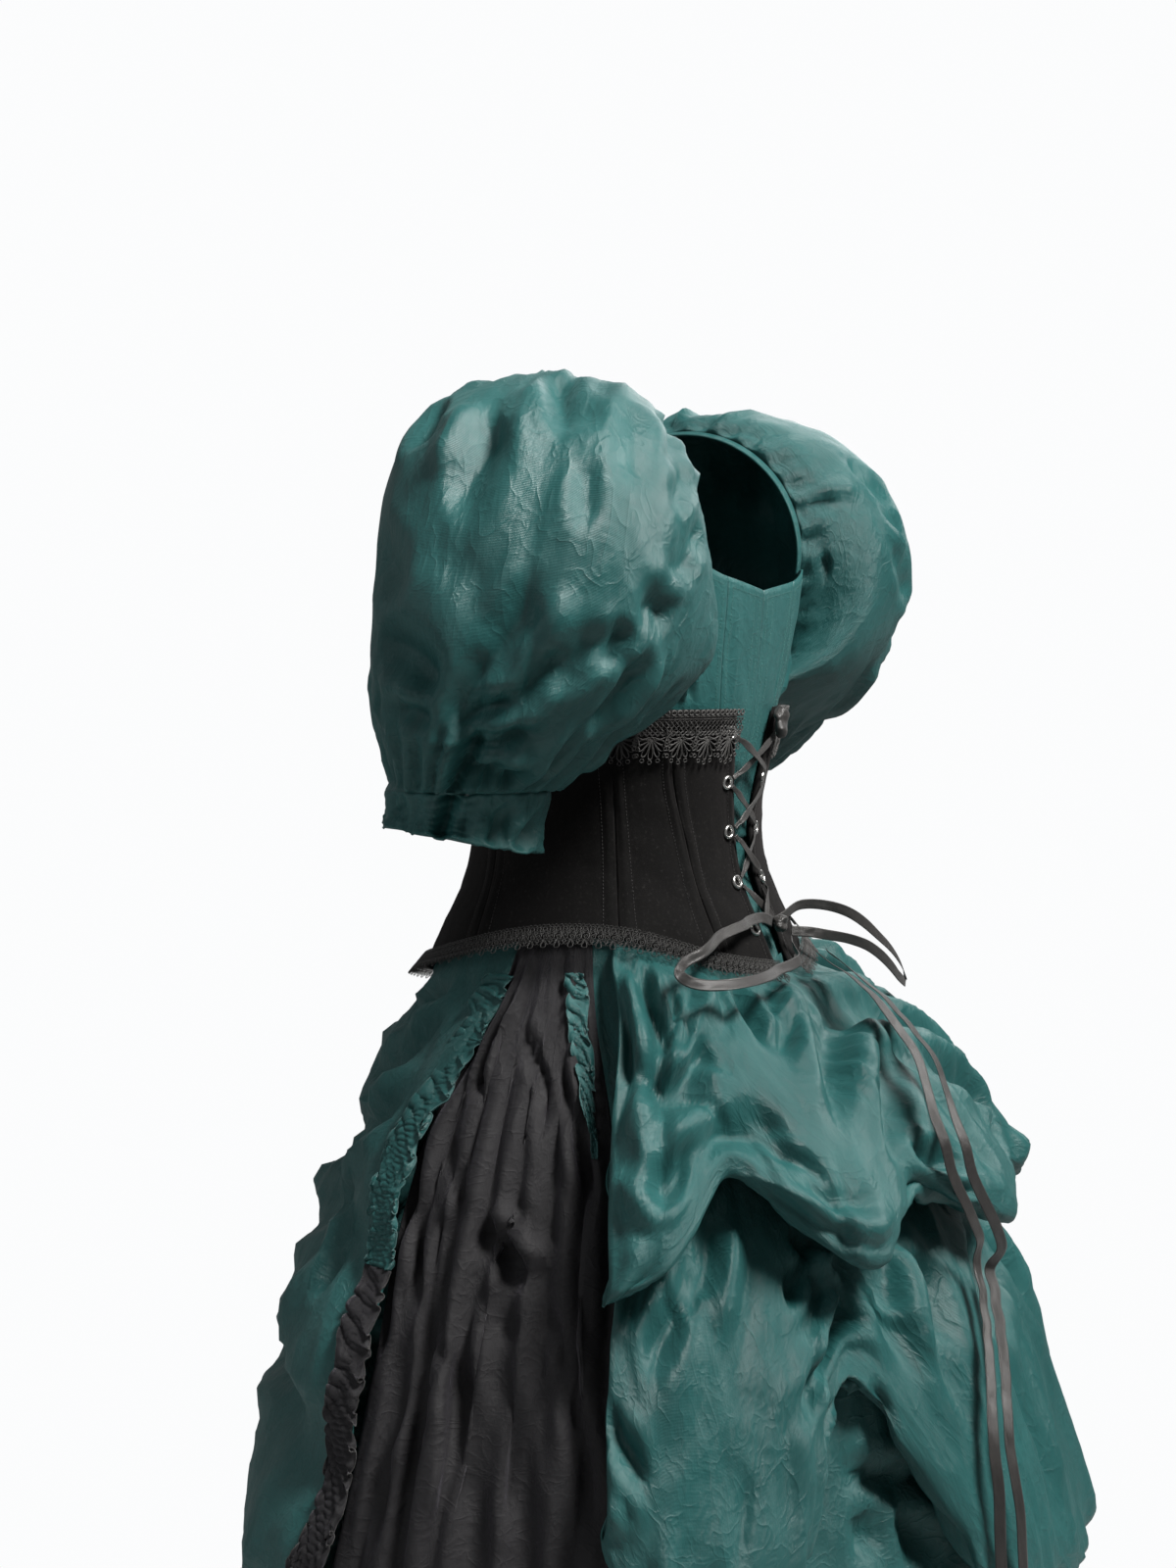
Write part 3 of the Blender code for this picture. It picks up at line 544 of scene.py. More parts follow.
@dataclass(frozen=True)
class Gathers:
    """Uneven folds that fan from one edge of a cloth and fade towards the other."""

    count: int
    depth: float
    reach: float
    seed: int
    from_foot: bool = False
    sway: float = 0.35

    def height(self, across: Array, down: Array, span: tuple[float, float], closed: bool) -> Array:
        """Height above the cloth, with the arguments of a crease's."""
        grain = Grain(self.seed)
        rise = 1 - down if self.from_foot else down
        far = np.clip(rise * span[1] / self.reach, 0, 1)
        period = self.count if closed else 256
        x = across * self.count
        phase = self.sway * grain.at(x / 2 if not closed else x, rise * span[1] / 0.09, period)
        uneven = 0.55 + 0.45 * grain.at(x * 0.5 if not closed else x, np.full_like(x, 7.3), period)
        length = 0.45 + 0.55 * (0.5 + 0.5 * grain.at(x if closed else x * 0.7, np.full_like(x, 3.1), period))
        wave = np.cos(2 * math.pi * (x + phase))
        sharp = np.sign(wave) * np.abs(wave) ** 0.8
        fade = smooth(1 - far / np.clip(length, 0.2, 1)) * smooth(rise * span[1] / 0.004)
        return self.depth * uneven * sharp * fade


Relief = Crease | Wrinkles | Gathers


def creases(rows: Sequence[tuple], deeper: float = 1.0) -> list[Relief]:
    """Folds from a table's rows, deepened by a factor."""
    return [Crease(path, width * CREASE_WIDTH, max(LOWEST_TROUGH, min(HIGHEST_RIDGE, depth * deeper)), lean)
            for path, width, depth, lean in rows]


def strewn(count: int, seed: int, box: tuple[float, float, float, float], reach: tuple[float, float],
           width: float, depth: float, angle: float, spread: float = 0.5) -> list[Relief]:
    """Smaller creases strewn over part of a cloth.

    Args:
        count: how many there are.
        seed: of their places and sizes.
        box: least and greatest places across and down where they start.
        reach: their usual length as shares across and down.
        width: their usual width.
        depth: their usual depth.
        angle: the way they run, in degrees from straight down.
        spread: how far they stray from it, in radians.

    Returns:
        The creases.
    """
    draw = np.random.default_rng(seed)
    rows = []
    for _ in range(count):
        x, y = draw.uniform(box[0], box[1]), draw.uniform(box[2], box[3])
        way = math.radians(angle) + spread * draw.normal()
        size, bend = draw.uniform(0.5, 1.4), 0.5 * draw.normal()
        path = [(x, y)]
        for part in (0.33, 0.33, 0.34):
            x += reach[0] * size * part * math.sin(way)
            y += reach[1] * size * part * math.cos(way)
            way += bend
            path.append((x, y))
        deep = depth * draw.uniform(0.4, 1.5) * (1 if draw.random() < 0.6 else -1)
        rows.append(Crease(tuple(path), width * draw.uniform(0.6, 1.5), deep, 0.6 * draw.uniform(-1, 1), 0.4))
    return rows


def normals_of(points: Array, closed: bool, flip: bool) -> Array:
    """Outward unit directions of a grid of points, whose last column may meet the first."""
    if closed:
        across = np.roll(points, -1, axis=1) - np.roll(points, 1, axis=1)
    else:
        across = np.gradient(points, axis=1)
    down = np.gradient(points, axis=0)
    return unit(np.cross(across, down) * (-1.0 if flip else 1.0))


def add_object(name: str, mesh: bpy.types.Mesh, finish: bpy.types.Material | None) -> bpy.types.Object:
    """Link a mesh as a piece with its finish."""
    piece = bpy.data.objects.new(name, mesh)
    bpy.context.scene.collection.objects.link(piece)
    if finish:
        mesh.materials.append(finish)
    return piece


def mesh_of(name: str, points: Array, faces: Array, uv: Array | None = None) -> bpy.types.Mesh:
    """Make a smooth mesh of four-cornered faces, with map places in metres for their corners."""
    mesh = bpy.data.meshes.new(name)
    mesh.vertices.add(len(points))
    mesh.vertices.foreach_set("co", np.ascontiguousarray(points, dtype=np.float32).ravel())
    mesh.loops.add(faces.size)
    mesh.loops.foreach_set("vertex_index", faces.astype(np.int32).ravel())
    mesh.polygons.add(len(faces))
    mesh.polygons.foreach_set("loop_start", np.arange(0, faces.size, faces.shape[1], dtype=np.int32))
    mesh.update(calc_edges=True)
    if uv is not None:
        layer = mesh.uv_layers.new(name="cloth")
        layer.data.foreach_set("uv", np.ascontiguousarray(uv, dtype=np.float32).ravel())
    mesh.validate()
    mesh.shade_smooth()
    return mesh


@dataclass
class Cloth:
    """Sheet of cloth on a grid, with its folds laid on it and a wall inwards."""

    name: str
    place: Place
    columns: int
    rows: int
    reliefs: Sequence[Relief] = ()
    thickness: float = CLOTH
    closed: bool = False
    flip: bool = False
    edge: float = 0.006
    under: Callable[[Array], Array] | None = None
    points: Array = field(default_factory=lambda: np.zeros(0))
    normal: Array = field(default_factory=lambda: np.zeros(0))
    span: tuple[float, float] = (1.0, 1.0)

    def lay(self) -> "Cloth":
        """Work out the cloth's points with every fold on it."""
        shares = np.linspace(0, 1, self.columns + 1)[: self.columns if self.closed else None]
        across, down = np.meshgrid(shares, np.linspace(0, 1, self.rows + 1))
        points = self.place(across, down)
        ring = np.concatenate([points, points[:, :1]], axis=1) if self.closed else points
        wide = float(steps_of(ring, 1).sum(axis=1).mean())
        long = float(steps_of(points).sum(axis=0).mean())
        self.span = (wide, long)
        normal = normals_of(points, self.closed, self.flip)
        height = np.zeros(across.shape)
        for relief in self.reliefs:
            height = height + relief.height(across, down, self.span, self.closed)
        height = DEEPEST * np.tanh(height / DEEPEST)
        calm = smooth(down * long / self.edge) * smooth((1 - down) * long / self.edge)
        if not self.closed:
            calm = calm * smooth(across * wide / self.edge) * smooth((1 - across) * wide / self.edge)
        if self.under:
            calm = calm * self.under(points)
        self.points = points + normal * (height * calm)[..., None]
        self.normal = normals_of(self.points, self.closed, self.flip)
        return self

    def sample(self, across: Array, down: Array) -> tuple[Array, Array]:
        """Points and outward directions on the laid cloth, at places from 0 to 1 across and down."""
        rows, columns = self.points.shape[:2]
        x = np.asarray(across, float) * (columns if self.closed else columns - 1)
        y = np.clip(np.asarray(down, float) * (rows - 1), 0, rows - 1.000001)
        x = x % columns if self.closed else np.clip(x, 0, columns - 1.000001)
        x0, y0 = x.astype(int), y.astype(int)
        x1 = (x0 + 1) % columns if self.closed else x0 + 1
        fx, fy = (x - x0)[..., None], (y - y0)[..., None]

        def blend(values: Array) -> Array:
            top = values[y0, x0] * (1 - fx) + values[y0, x1] * fx
            return top * (1 - fy) + (values[y0 + 1, x0] * (1 - fx) + values[y0 + 1, x1] * fx) * fy

        return blend(self.points), unit(blend(self.normal))

    def make(self, finish: bpy.types.Material) -> bpy.types.Object:
        """Turn the laid cloth into a closed thin shell."""
        rows, count = self.points.shape[:2]
        outer = self.points.reshape(-1, 3)
        inner = (self.points - self.normal * self.thickness).reshape(-1, 3)
        index = np.arange(rows * count).reshape(rows, count)
        following = np.roll(index, -1, axis=1) if self.closed else index[:, 1:]
        here = index if self.closed else index[:, :-1]
        quads = np.stack([here[:-1], following[:-1], following[1:], here[1:]], axis=-1).reshape(-1, 4)
        steps = here.shape[1]
        left, top = np.meshgrid(np.arange(steps) / self.columns * self.span[0],
                                np.arange(rows - 1) / self.rows * self.span[1])
        dx, dy = self.span[0] / self.columns, self.span[1] / self.rows
        corners = [(left, top), (left + dx, top), (left + dx, top + dy), (left, top + dy)]
        uv = np.stack([np.stack(pair, axis=-1) for pair in corners], axis=2).reshape(-1, 4, 2)
        size = rows * count
        rims = [np.stack([following[0], here[0], here[0] + size, following[0] + size], axis=-1),
                np.stack([here[-1], following[-1], following[-1] + size, here[-1] + size], axis=-1)]
        if not self.closed:
            for start, end in ((index[:-1, 0], index[1:, 0]), (index[1:, -1], index[:-1, -1])):
                rims.append(np.stack([start, end, end + size, start + size], axis=-1))
        rim = np.concatenate(rims)
        faces = np.concatenate([quads, quads[:, ::-1] + size, rim])
        where = np.concatenate([uv, uv[:, ::-1], np.zeros((len(rim), 4, 2))])
        if self.flip:
            faces, where = faces[:, ::-1], where[:, ::-1]
        return add_object(self.name, mesh_of(self.name, np.concatenate([outer, inner]), faces, where), finish)


def sheet_of(node: str, place: Place, folds: Sequence[Relief], **shape: object) -> Cloth:
    """The cloth that stands for a solid, on the solid's own grid."""
    return Cloth(node + "_cloth", place, *GRIDS[node], folds, **shape)


def tube(points: Array, radius: float, closed: bool) -> tuple[Array, Array]:
    """Vertices and four-cornered faces of a thin thread along points, which may meet itself."""
    count = len(points)
    if closed:
        run = np.roll(points, -1, axis=0) - np.roll(points, 1, axis=0)
    else:
        run = np.gradient(points, axis=0)
    run = unit(run)
    side = np.zeros_like(run)
    guess = np.array([0.0, 0.0, 1.0]) if abs(run[0, 2]) < 0.8 else np.array([1.0, 0.0, 0.0])
    for number in range(count):
        across = guess - run[number] * float(guess @ run[number])
        across /= max(1e-12, float(np.linalg.norm(across)))
        side[number] = guess = across
    over = np.cross(run, side)
    turns = np.linspace(0, 2 * math.pi, THREAD_SIDES, endpoint=False)
    ring = side[:, None] * np.cos(turns)[None, :, None] + over[:, None] * np.sin(turns)[None, :, None]
    vertices = (points[:, None] + ring * radius).reshape(-1, 3)
    index = np.arange(count * THREAD_SIDES).reshape(count, THREAD_SIDES)
    following = np.roll(index, -1, axis=0) if closed else index[1:]
    here = index if closed else index[:-1]
    faces = np.stack([here, np.roll(here, -1, axis=1), np.roll(following, -1, axis=1), following], axis=-1)
    return vertices, faces.reshape(-1, 4)


def gather_tubes(name: str, lines: Sequence[tuple[Array, float, bool]]) -> bpy.types.Mesh:
    """One mesh from many threads, each given by its points, its radius and whether it meets itself."""
    vertices, faces, start = [], [], 0
    for points, radius, closed in lines:
        more, quads = tube(np.asarray(points, float), radius, closed)
        vertices.append(more)
        faces.append(quads + start)
        start += len(more)
    return mesh_of(name, np.concatenate(vertices), np.concatenate(faces))


@dataclass(frozen=True)
class Wire:
    """A socket in a finish's maths."""

    graph: "Graph"
    socket: bpy.types.NodeSocket

    def maths(self, operation: str, first: "Wire | float", second: "Wire | float" = 0.0) -> "Wire":
        """Add one Math node and return its result."""
        made = self.graph.node("ShaderNodeMath", {"operation": operation}, {0: first, 1: second})
        return Wire(self.graph, made.outputs[0])

    def __add__(self, other: "Wire | float") -> "Wire":
        """Sum."""
        return self.maths("ADD", self, other)

    def __radd__(self, other: float) -> "Wire":
        """Sum with a number first."""
        return self.maths("ADD", other, self)

    def __sub__(self, other: "Wire | float") -> "Wire":
        """Difference."""
        return self.maths("SUBTRACT", self, other)

    def __rsub__(self, other: float) -> "Wire":
        """Difference from a number."""
        return self.maths("SUBTRACT", other, self)

    def __mul__(self, other: "Wire | float") -> "Wire":
        """Product."""
        return self.maths("MULTIPLY", self, other)

    def __rmul__(self, other: float) -> "Wire":
        """Product with a number first."""
        return self.maths("MULTIPLY", other, self)

    def power(self, exponent: float) -> "Wire":
        """Raise to a power."""
        return self.maths("POWER", self, exponent)

    def ridge(self, sharpness: float) -> "Wire":
        """Thin lines where a noise passes its middle."""
        return (1.0 - self.maths("ABSOLUTE", self * 2.0 - 1.0)).power(sharpness)


class Graph:
    """Node tree of one finish."""

    def __init__(self, name: str) -> None:
        """Start a material with a Principled shader."""
        self.material = bpy.data.materials.new(name)
        self.material.use_nodes = True
        self.nodes = self.material.node_tree.nodes
        self.links = self.material.node_tree.links
        self.shader = self.nodes["Principled BSDF"]

    def node(self, kind: str, settings: dict[str, object],
             sockets: dict[int | str, object]) -> bpy.types.Node:
        """Add a node, set its own choices and then give its inputs values or wires."""
        made = self.nodes.new(kind)
        for key, value in settings.items():
            setattr(made, key, value)
        self.give(made, sockets)
        return made

    def give(self, made: bpy.types.Node, sockets: dict[int | str, object]) -> None:
        """Set or link a node's inputs, colours as three shares."""
        for key, value in sockets.items():
            if isinstance(value, Wire):
                self.links.new(value.socket, made.inputs[key])
            else:
                colour = made.inputs[key].type == "RGBA"
                made.inputs[key].default_value = (*value, 1.0) if colour else value

    def place(self, by_cloth: bool, stretch: tuple[float, float, float] = (1.0, 1.0, 1.0)) -> Wire:
        """Places on the piece in metres, stretched for a pattern."""
        source = self.node("ShaderNodeTexCoord", {}, {})
        found = Wire(self, source.outputs["UV" if by_cloth else "Object"])
        mapped = self.node("ShaderNodeMapping", {}, {"Vector": found, "Scale": stretch})
        return Wire(self, mapped.outputs[0])

    def noise(self, where: Wire, scale: float, detail: float = 3.0, distortion: float = 0.0) -> Wire:
        """Soft noise from 0 to 1."""
        made = self.node("ShaderNodeTexNoise", {}, {"Vector": where, "Scale": scale, "Detail": detail,
                                                    "Distortion": distortion})
        return Wire(self, made.outputs["Fac"])

    def wave(self, where: Wire, scale: float, direction: str, distortion: float = 0.0) -> Wire:
        """Threads side by side, from 0 to 1."""
        made = self.node("ShaderNodeTexWave", {"bands_direction": direction},
                         {"Vector": where, "Scale": scale, "Distortion": distortion})
        return Wire(self, made.outputs["Fac"])

    def mix(self, share: Wire | float, first: object, second: object) -> Wire:
        """Blend two colours."""
        made = self.node("ShaderNodeMix", {"data_type": "RGBA"}, {0: share, 6: first, 7: second})
        return Wire(self, made.outputs[2])

    def bump(self, height: Wire, strength: float, distance: float) -> None:
        """Lead a height into the shader's normal."""
        made = self.node("ShaderNodeBump", {}, {"Height": height, "Strength": strength, "Distance": distance})
        self.links.new(made.outputs[0], self.shader.inputs["Normal"])

    def feed(self, sockets: dict[str, object]) -> None:
        """Set or link the shader's inputs."""
        self.give(self.shader, sockets)


@dataclass(frozen=True)
class Woven:
    """Woven cotton or sateen: sheen, fine creasing, uneven dye, and painted shade and highlight on the
    creasing.
    """

    name: str
    deep: tuple[float, float, float]
    light: tuple[float, float, float]
    sheen: float
    tint: tuple[float, float, float]
    roughness: float
    crush: float

    def material(self) -> bpy.types.Material:
        """Build the finish."""
        graph = Graph(self.name)
        cloth = graph.place(True)
        body = graph.place(False)
        slub = graph.noise(graph.place(True, (60.0, 900.0, 1.0)), 1.0, 2.0)
        cloudy = graph.noise(body, 9.0, 3.0, 0.4)
        weft = graph.wave(cloth, 620.0, "Y", 0.6)
        warp = graph.wave(cloth, 900.0, "X", 0.5)
        crush_and_painted_shade = graph.noise(graph.place(True, (1.0, 0.55, 1.0)), 70.0, 4.0, 0.5)
        fine = graph.noise(graph.place(True, (1.0, 0.7, 1.0)), 260.0, 3.0, 0.8)
        # Colour: uneven dye from the cloudy and slub noise, and painted shade and highlight from the crushed
        # creasing, darker in its troughs and lighter on its crests
        share = cloudy * 0.7 + slub * 0.25 + crush_and_painted_shade * 0.3 - 0.12
        veins = graph.noise(graph.place(True, (1.0, 0.62, 1.0)), 30.0, 2.0, 0.9)
        lines = veins.ridge(9.0)
        small = graph.noise(graph.place(True, (0.8, 1.0, 1.0)), 75.0, 2.0, 0.6)
        nicks = small.ridge(8.0)
        graph.feed({
            "Base Color": graph.mix(share, self.deep, self.light),
            "Roughness": self.roughness + 0.14 * crush_and_painted_shade - 0.07 + 0.05 * slub,
            "Sheen Weight": self.sheen,
            "Sheen Roughness": 0.35,
            "Sheen Tint": self.tint,
            "Specular IOR Level": 0.42,
        })
        height = crush_and_painted_shade * self.crush + fine * (self.crush * 0.35) + (weft + warp) * 0.03 + slub * 0.05
        height = height + lines * (self.crush * 0.45) + nicks * (self.crush * 0.35)
        graph.bump(height, 0.85, 0.0026)
        return graph.material


@dataclass(frozen=True)
class Pile:
    """Black cotton velvet, its pile brushed unevenly."""

    name: str = "velvet_pile"
    deep: tuple[float, float, float] = (0.0012, 0.0012, 0.0012)
    light: tuple[float, float, float] = (0.0046, 0.0043, 0.0042)

    def material(self) -> bpy.types.Material:
        """Build the finish."""
        graph = Graph(self.name)
        body = graph.place(False)
        brushed = graph.noise(graph.place(False, (1.0, 1.0, 0.45)), 26.0, 4.0, 1.4)
        tufts = graph.noise(body, 1500.0, 2.0)
        lint = graph.noise(body, 420.0, 1.0).power(9.0)
        share = brushed.power(1.6) * 1.2 + tufts * 0.25 - 0.2
        graph.feed({
            "Base Color": graph.mix(lint * 1.8, graph.mix(share, self.deep, self.light),
                                    (0.05, 0.048, 0.046)),
            "Roughness": 0.78 + 0.15 * tufts,
            "Sheen Weight": 0.07,
            "Sheen Roughness": 0.55,
            "Sheen Tint": (0.55, 0.5, 0.5),
            "Specular IOR Level": 0.12,
        })
        graph.bump(tufts * 0.6 + brushed * 0.6, 0.6, 0.0009)
        return graph.material


@dataclass(frozen=True)
class Corded:
    """Twisted thread of lace, stitches and overlocked edges."""

    name: str
    deep: tuple[float, float, float]
    light: tuple[float, float, float]
    twist: float = 900.0

    def material(self) -> bpy.types.Material:
        """Build the finish."""
        graph = Graph(self.name)
        body = graph.place(False)
        strands = graph.wave(body, self.twist, "DIAGONAL", 1.5)
        worn = graph.noise(body, 140.0, 3.0)
        graph.feed({
            "Base Color": graph.mix(strands * 0.6 + worn * 0.5 - 0.05, self.deep, self.light),
            "Roughness": 0.62 + 0.2 * worn,
            "Sheen Weight": 0.2,
            "Specular IOR Level": 0.35,
        })
        graph.bump(strands + worn * 0.5, 0.6, 0.0004)
        return graph.material


@dataclass(frozen=True)
class Satin:
    """Black satin ribbon: fine ribs along it and a soft shine across."""

    name: str = "ribbon_satin"
    deep: tuple[float, float, float] = (0.010, 0.0092, 0.0088)
    light: tuple[float, float, float] = (0.034, 0.031, 0.029)

    def material(self) -> bpy.types.Material:
        """Build the finish."""
        graph = Graph(self.name)
        ribs = graph.wave(graph.place(True), 700.0, "Y", 0.3)
        threads = graph.wave(graph.place(True), 500.0, "X", 0.8)
        dull = graph.noise(graph.place(True, (1.0, 0.6, 1.0)), 120.0, 3.0, 0.8)
        graph.feed({
            "Base Color": graph.mix(dull * 0.8 + threads * 0.25 - 0.05, self.deep, self.light),
            "Roughness": 0.27 + 0.16 * dull,
            "Anisotropic": 0.5,
            "Specular IOR Level": 0.62,
            "Sheen Weight": 0.1,
        })
        graph.bump(ribs * 0.5 + threads * 0.3 + dull * 0.8, 0.4, 0.0006)
        return graph.material


@dataclass(frozen=True)
class Plated:
    """Nickel-plated brass of the eyelets, finely scratched."""

    name: str = "nickel_plate"

    def material(self) -> bpy.types.Material:
        """Build the finish."""
        graph = Graph(self.name)
        body = graph.place(False)
        scratch = graph.noise(graph.place(False, (1.0, 1.0, 6.0)), 900.0, 3.0)
        tarnish = graph.noise(body, 260.0, 4.0)
        graph.feed({
            "Base Color": graph.mix(tarnish.power(2.0), (0.78, 0.77, 0.75), (0.46, 0.45, 0.43)),
            "Metallic": 1.0,
            "Roughness": 0.16 + 0.2 * scratch,
        })
        graph.bump(scratch, 0.25, 0.0002)
        return graph.material


@dataclass(frozen=True)
class Paper:
    """Pale studio floor."""

    name: str = "studio_floor"

    def material(self) -> bpy.types.Material:
        """Build the finish."""
        graph = Graph(self.name)
        cloudy = graph.noise(graph.place(False), 3.0)
        graph.feed({"Base Color": graph.mix(cloudy, (0.80, 0.80, 0.80), (0.86, 0.86, 0.86)),
                    "Roughness": 0.9})
        return graph.material


class Wardrobe:
    """Every finish, made once."""

    def __init__(self) -> None:
        """Build the finishes."""
        self.sateen = Woven("teal_sateen_cloth", (0.0048, 0.040, 0.040), (0.027, 0.132, 0.128), 0.08,
                            (0.45, 0.82, 0.82), 0.35, 0.42).material()
        self.cotton = Woven("black_cotton_cloth", (0.0035, 0.0033, 0.0042), (0.013, 0.0120, 0.0148), 0.16,
                            (0.55, 0.52, 0.62), 0.62, 0.4).material()
        self.velvet = Pile().material()
        self.lace = Corded("lace_thread", (0.020, 0.0192, 0.0186), (0.100, 0.096, 0.092)).material()
        self.hem_lace = Corded("hem_lace_thread", (0.009, 0.0087, 0.0084), (0.046, 0.044, 0.042)).material()
        self.thread = Corded("teal_sewing_thread", (0.012, 0.07, 0.064), (0.05, 0.2, 0.18), 1500.0).material()
        self.black_thread = Corded("black_sewing_thread", (0.006, 0.006, 0.006), (0.03, 0.028, 0.028),
                                   1500.0).material()
        self.overlock = Corded("teal_overlock_thread", (0.012, 0.06, 0.06), (0.055, 0.17, 0.165),
                               1200.0).material()
        self.satin = Satin().material()
        self.metal = Plated().material()


class Repeater:
    """Copies of a motif on marked points, by Geometry Nodes."""

    def __init__(self) -> None:
        """Build the node tree with its named inputs."""
        tree = bpy.data.node_groups.new("set_motif_along_marks", "GeometryNodeTree")
        interface = tree.interface
        interface.new_socket("Marks", in_out="INPUT", socket_type="NodeSocketGeometry")
        interface.new_socket("Motif", in_out="INPUT", socket_type="NodeSocketObject")
        interface.new_socket("Finish", in_out="INPUT", socket_type="NodeSocketMaterial")
        interface.new_socket("Unevenness", in_out="INPUT", socket_type="NodeSocketFloat")
        interface.new_socket("Dressed", in_out="OUTPUT", socket_type="NodeSocketGeometry")
        nodes, links = tree.nodes, tree.links
        start, end = nodes.new("NodeGroupInput"), nodes.new("NodeGroupOutput")

        def attribute(name: str) -> bpy.types.NodeSocket:
            found = nodes.new("GeometryNodeInputNamedAttribute")
            found.data_type = "FLOAT_VECTOR"
            found.inputs["Name"].default_value = name
            return found.outputs["Attribute"]

        upright = nodes.new("FunctionNodeAlignRotationToVector")
        upright.axis = "Z"
        links.new(attribute("facing"), upright.inputs["Vector"])
        turned = nodes.new("FunctionNodeAlignRotationToVector")
        turned.axis, turned.pivot_axis = "X", "Z"
        links.new(upright.outputs[0], turned.inputs["Rotation"])
        links.new(attribute("along"), turned.inputs["Vector"])
        uneven = nodes.new("FunctionNodeRandomValue")
        uneven.data_type = "FLOAT"
        uneven.inputs["Seed"].default_value = 7
        low, high = nodes.new("ShaderNodeMath"), nodes.new("ShaderNodeMath")
        low.operation, high.operation = "SUBTRACT", "ADD"
        for limit, socket in ((low, 2), (high, 3)):
            limit.inputs[0].default_value = 1.0
            links.new(start.outputs["Unevenness"], limit.inputs[1])
            links.new(limit.outputs[0], uneven.inputs[socket])
        motif = nodes.new("GeometryNodeObjectInfo")
        links.new(start.outputs["Motif"], motif.inputs["Object"])
        copies = nodes.new("GeometryNodeInstanceOnPoints")
        links.new(start.outputs["Marks"], copies.inputs["Points"])
        links.new(motif.outputs["Geometry"], copies.inputs["Instance"])
        links.new(turned.outputs[0], copies.inputs["Rotation"])
        links.new(uneven.outputs[1], copies.inputs["Scale"])
        real = nodes.new("GeometryNodeRealizeInstances")
        links.new(copies.outputs[0], real.inputs[0])
        dressed = nodes.new("GeometryNodeSetMaterial")
        links.new(real.outputs[0], dressed.inputs["Geometry"])
        links.new(start.outputs["Finish"], dressed.inputs["Material"])
        links.new(dressed.outputs[0], end.inputs[0])
        self.tree = tree
        self.sockets = {item.name: item.identifier for item in interface.items_tree}

    def repeat(self, name: str, motif: bpy.types.Mesh, points: Array, facing: Array, along: Array,
               finish: bpy.types.Material, unevenness: float = 0.0) -> bpy.types.Object:
        """Set a motif on points.

        Args:
            name: the new piece's name.
            motif: mesh in its own frame: X along, Z outwards.
            points: where the copies stand.
            facing: the outward direction at each point.
            along: the running direction at each point.
            finish: the piece's material.
            unevenness: how far the copies' scale strays from 1.

        Returns:
            A plain piece.
        """
        model = add_object(name + "_motif", motif, None)
        marks = bpy.data.meshes.new(name + "_marks")
        marks.from_pydata([tuple(point) for point in points.reshape(-1, 3)], [], [])
        for key, values in (("facing", facing), ("along", along)):
            layer = marks.attributes.new(key, "FLOAT_VECTOR", "POINT")
            layer.data.foreach_set("vector", np.ascontiguousarray(values, dtype=np.float32).ravel())
        guide = add_object(name + "_guide", marks, None)
        work = guide.modifiers.new("copies", "NODES")
        work.node_group = self.tree
        work[self.sockets["Motif"]] = model
        work[self.sockets["Finish"]] = finish
        work[self.sockets["Unevenness"]] = unevenness
        guide.update_tag()
        graph = bpy.context.evaluated_depsgraph_get()
        mesh = bpy.data.meshes.new_from_object(guide.evaluated_get(graph))
        mesh.name = name
        guide.modifiers.clear()
        for helper in (guide, model):
            bpy.data.objects.remove(helper, do_unlink=True)
        mesh.shade_smooth()
        piece = add_object(name, mesh, None)
        if not mesh.materials:
            mesh.materials.append(finish)
        return piece


@dataclass
class Workshop:
    """What every sub-assembly works with."""

    finishes: Wardrobe
    repeater: Repeater
    cloths: dict[str, Cloth] = field(default_factory=dict)
    pieces: list[bpy.types.Object] = field(default_factory=list)

    def finish_of(self, slot: Slot) -> bpy.types.Material:
        """The finish of a material slot."""
        return {Slot.SATEEN: self.finishes.sateen, Slot.COTTON: self.finishes.cotton,
                Slot.VELVET: self.finishes.velvet, Slot.LACE: self.finishes.lace,
                Slot.METAL: self.finishes.metal, Slot.SATIN: self.finishes.satin}[slot]

    def keep(self, piece: bpy.types.Object, slot: Slot, nodes: Sequence[str] = ()) -> bpy.types.Object:
        """Ride a piece on the dress, hide the solids that it replaces and log its triangles."""
        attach(piece, BODY)
        if nodes:
            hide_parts(*nodes)
        self.pieces.append(piece)
        piece.data.calc_loop_triangles()
        log.info("%s: %d triangles", piece.name, len(piece.data.loop_triangles))
        return piece

    def cut(self, cloth: Cloth, slot: Slot, node: str, held: Held, ease: float, rests_on: Sequence[str],
            with_pieces: Sequence[bpy.types.Object] = ()) -> bpy.types.Object:
        """Make a cloth, keep it and log the size of its cut.

        Args:
            cloth: the cloth to lay.
            slot: its material slot.
            node: the solid that it replaces.
            held: how it is held; not used.
            ease: cut width for each unit of worn width.
            rests_on: what it hangs from or lies on; not used.
            with_pieces: separate pieces on it; not used.

        Returns:
            The piece.
        """
        self.cloths[cloth.name] = cloth.lay()
        piece = self.keep(cloth.make(self.finish_of(slot)), slot, (node,))
        points = cloth.points
        ring = np.concatenate([points, points[:, :1]], axis=1) if cloth.closed else points
        wide, long = steps_of(ring, 1).sum(axis=1), steps_of(points).sum(axis=0)
        flat = (round(float(wide.max()) * ease, 3), round(max(0.01, float(long.max())), 3))
        edge_a, edge_b = np.diff(points, axis=0)[:, :-1], np.diff(points, axis=1)[:-1]
        area = float(np.linalg.norm(np.cross(edge_a, edge_b), axis=-1).sum()) * ease
        share = min(1.0, max(0.31, area / (flat[0] * flat[1])))
        round(flat[0] * flat[1] * share, 5)
        log.info("%s cut %.3f x %.3f m", cloth.name, *flat)
        return piece


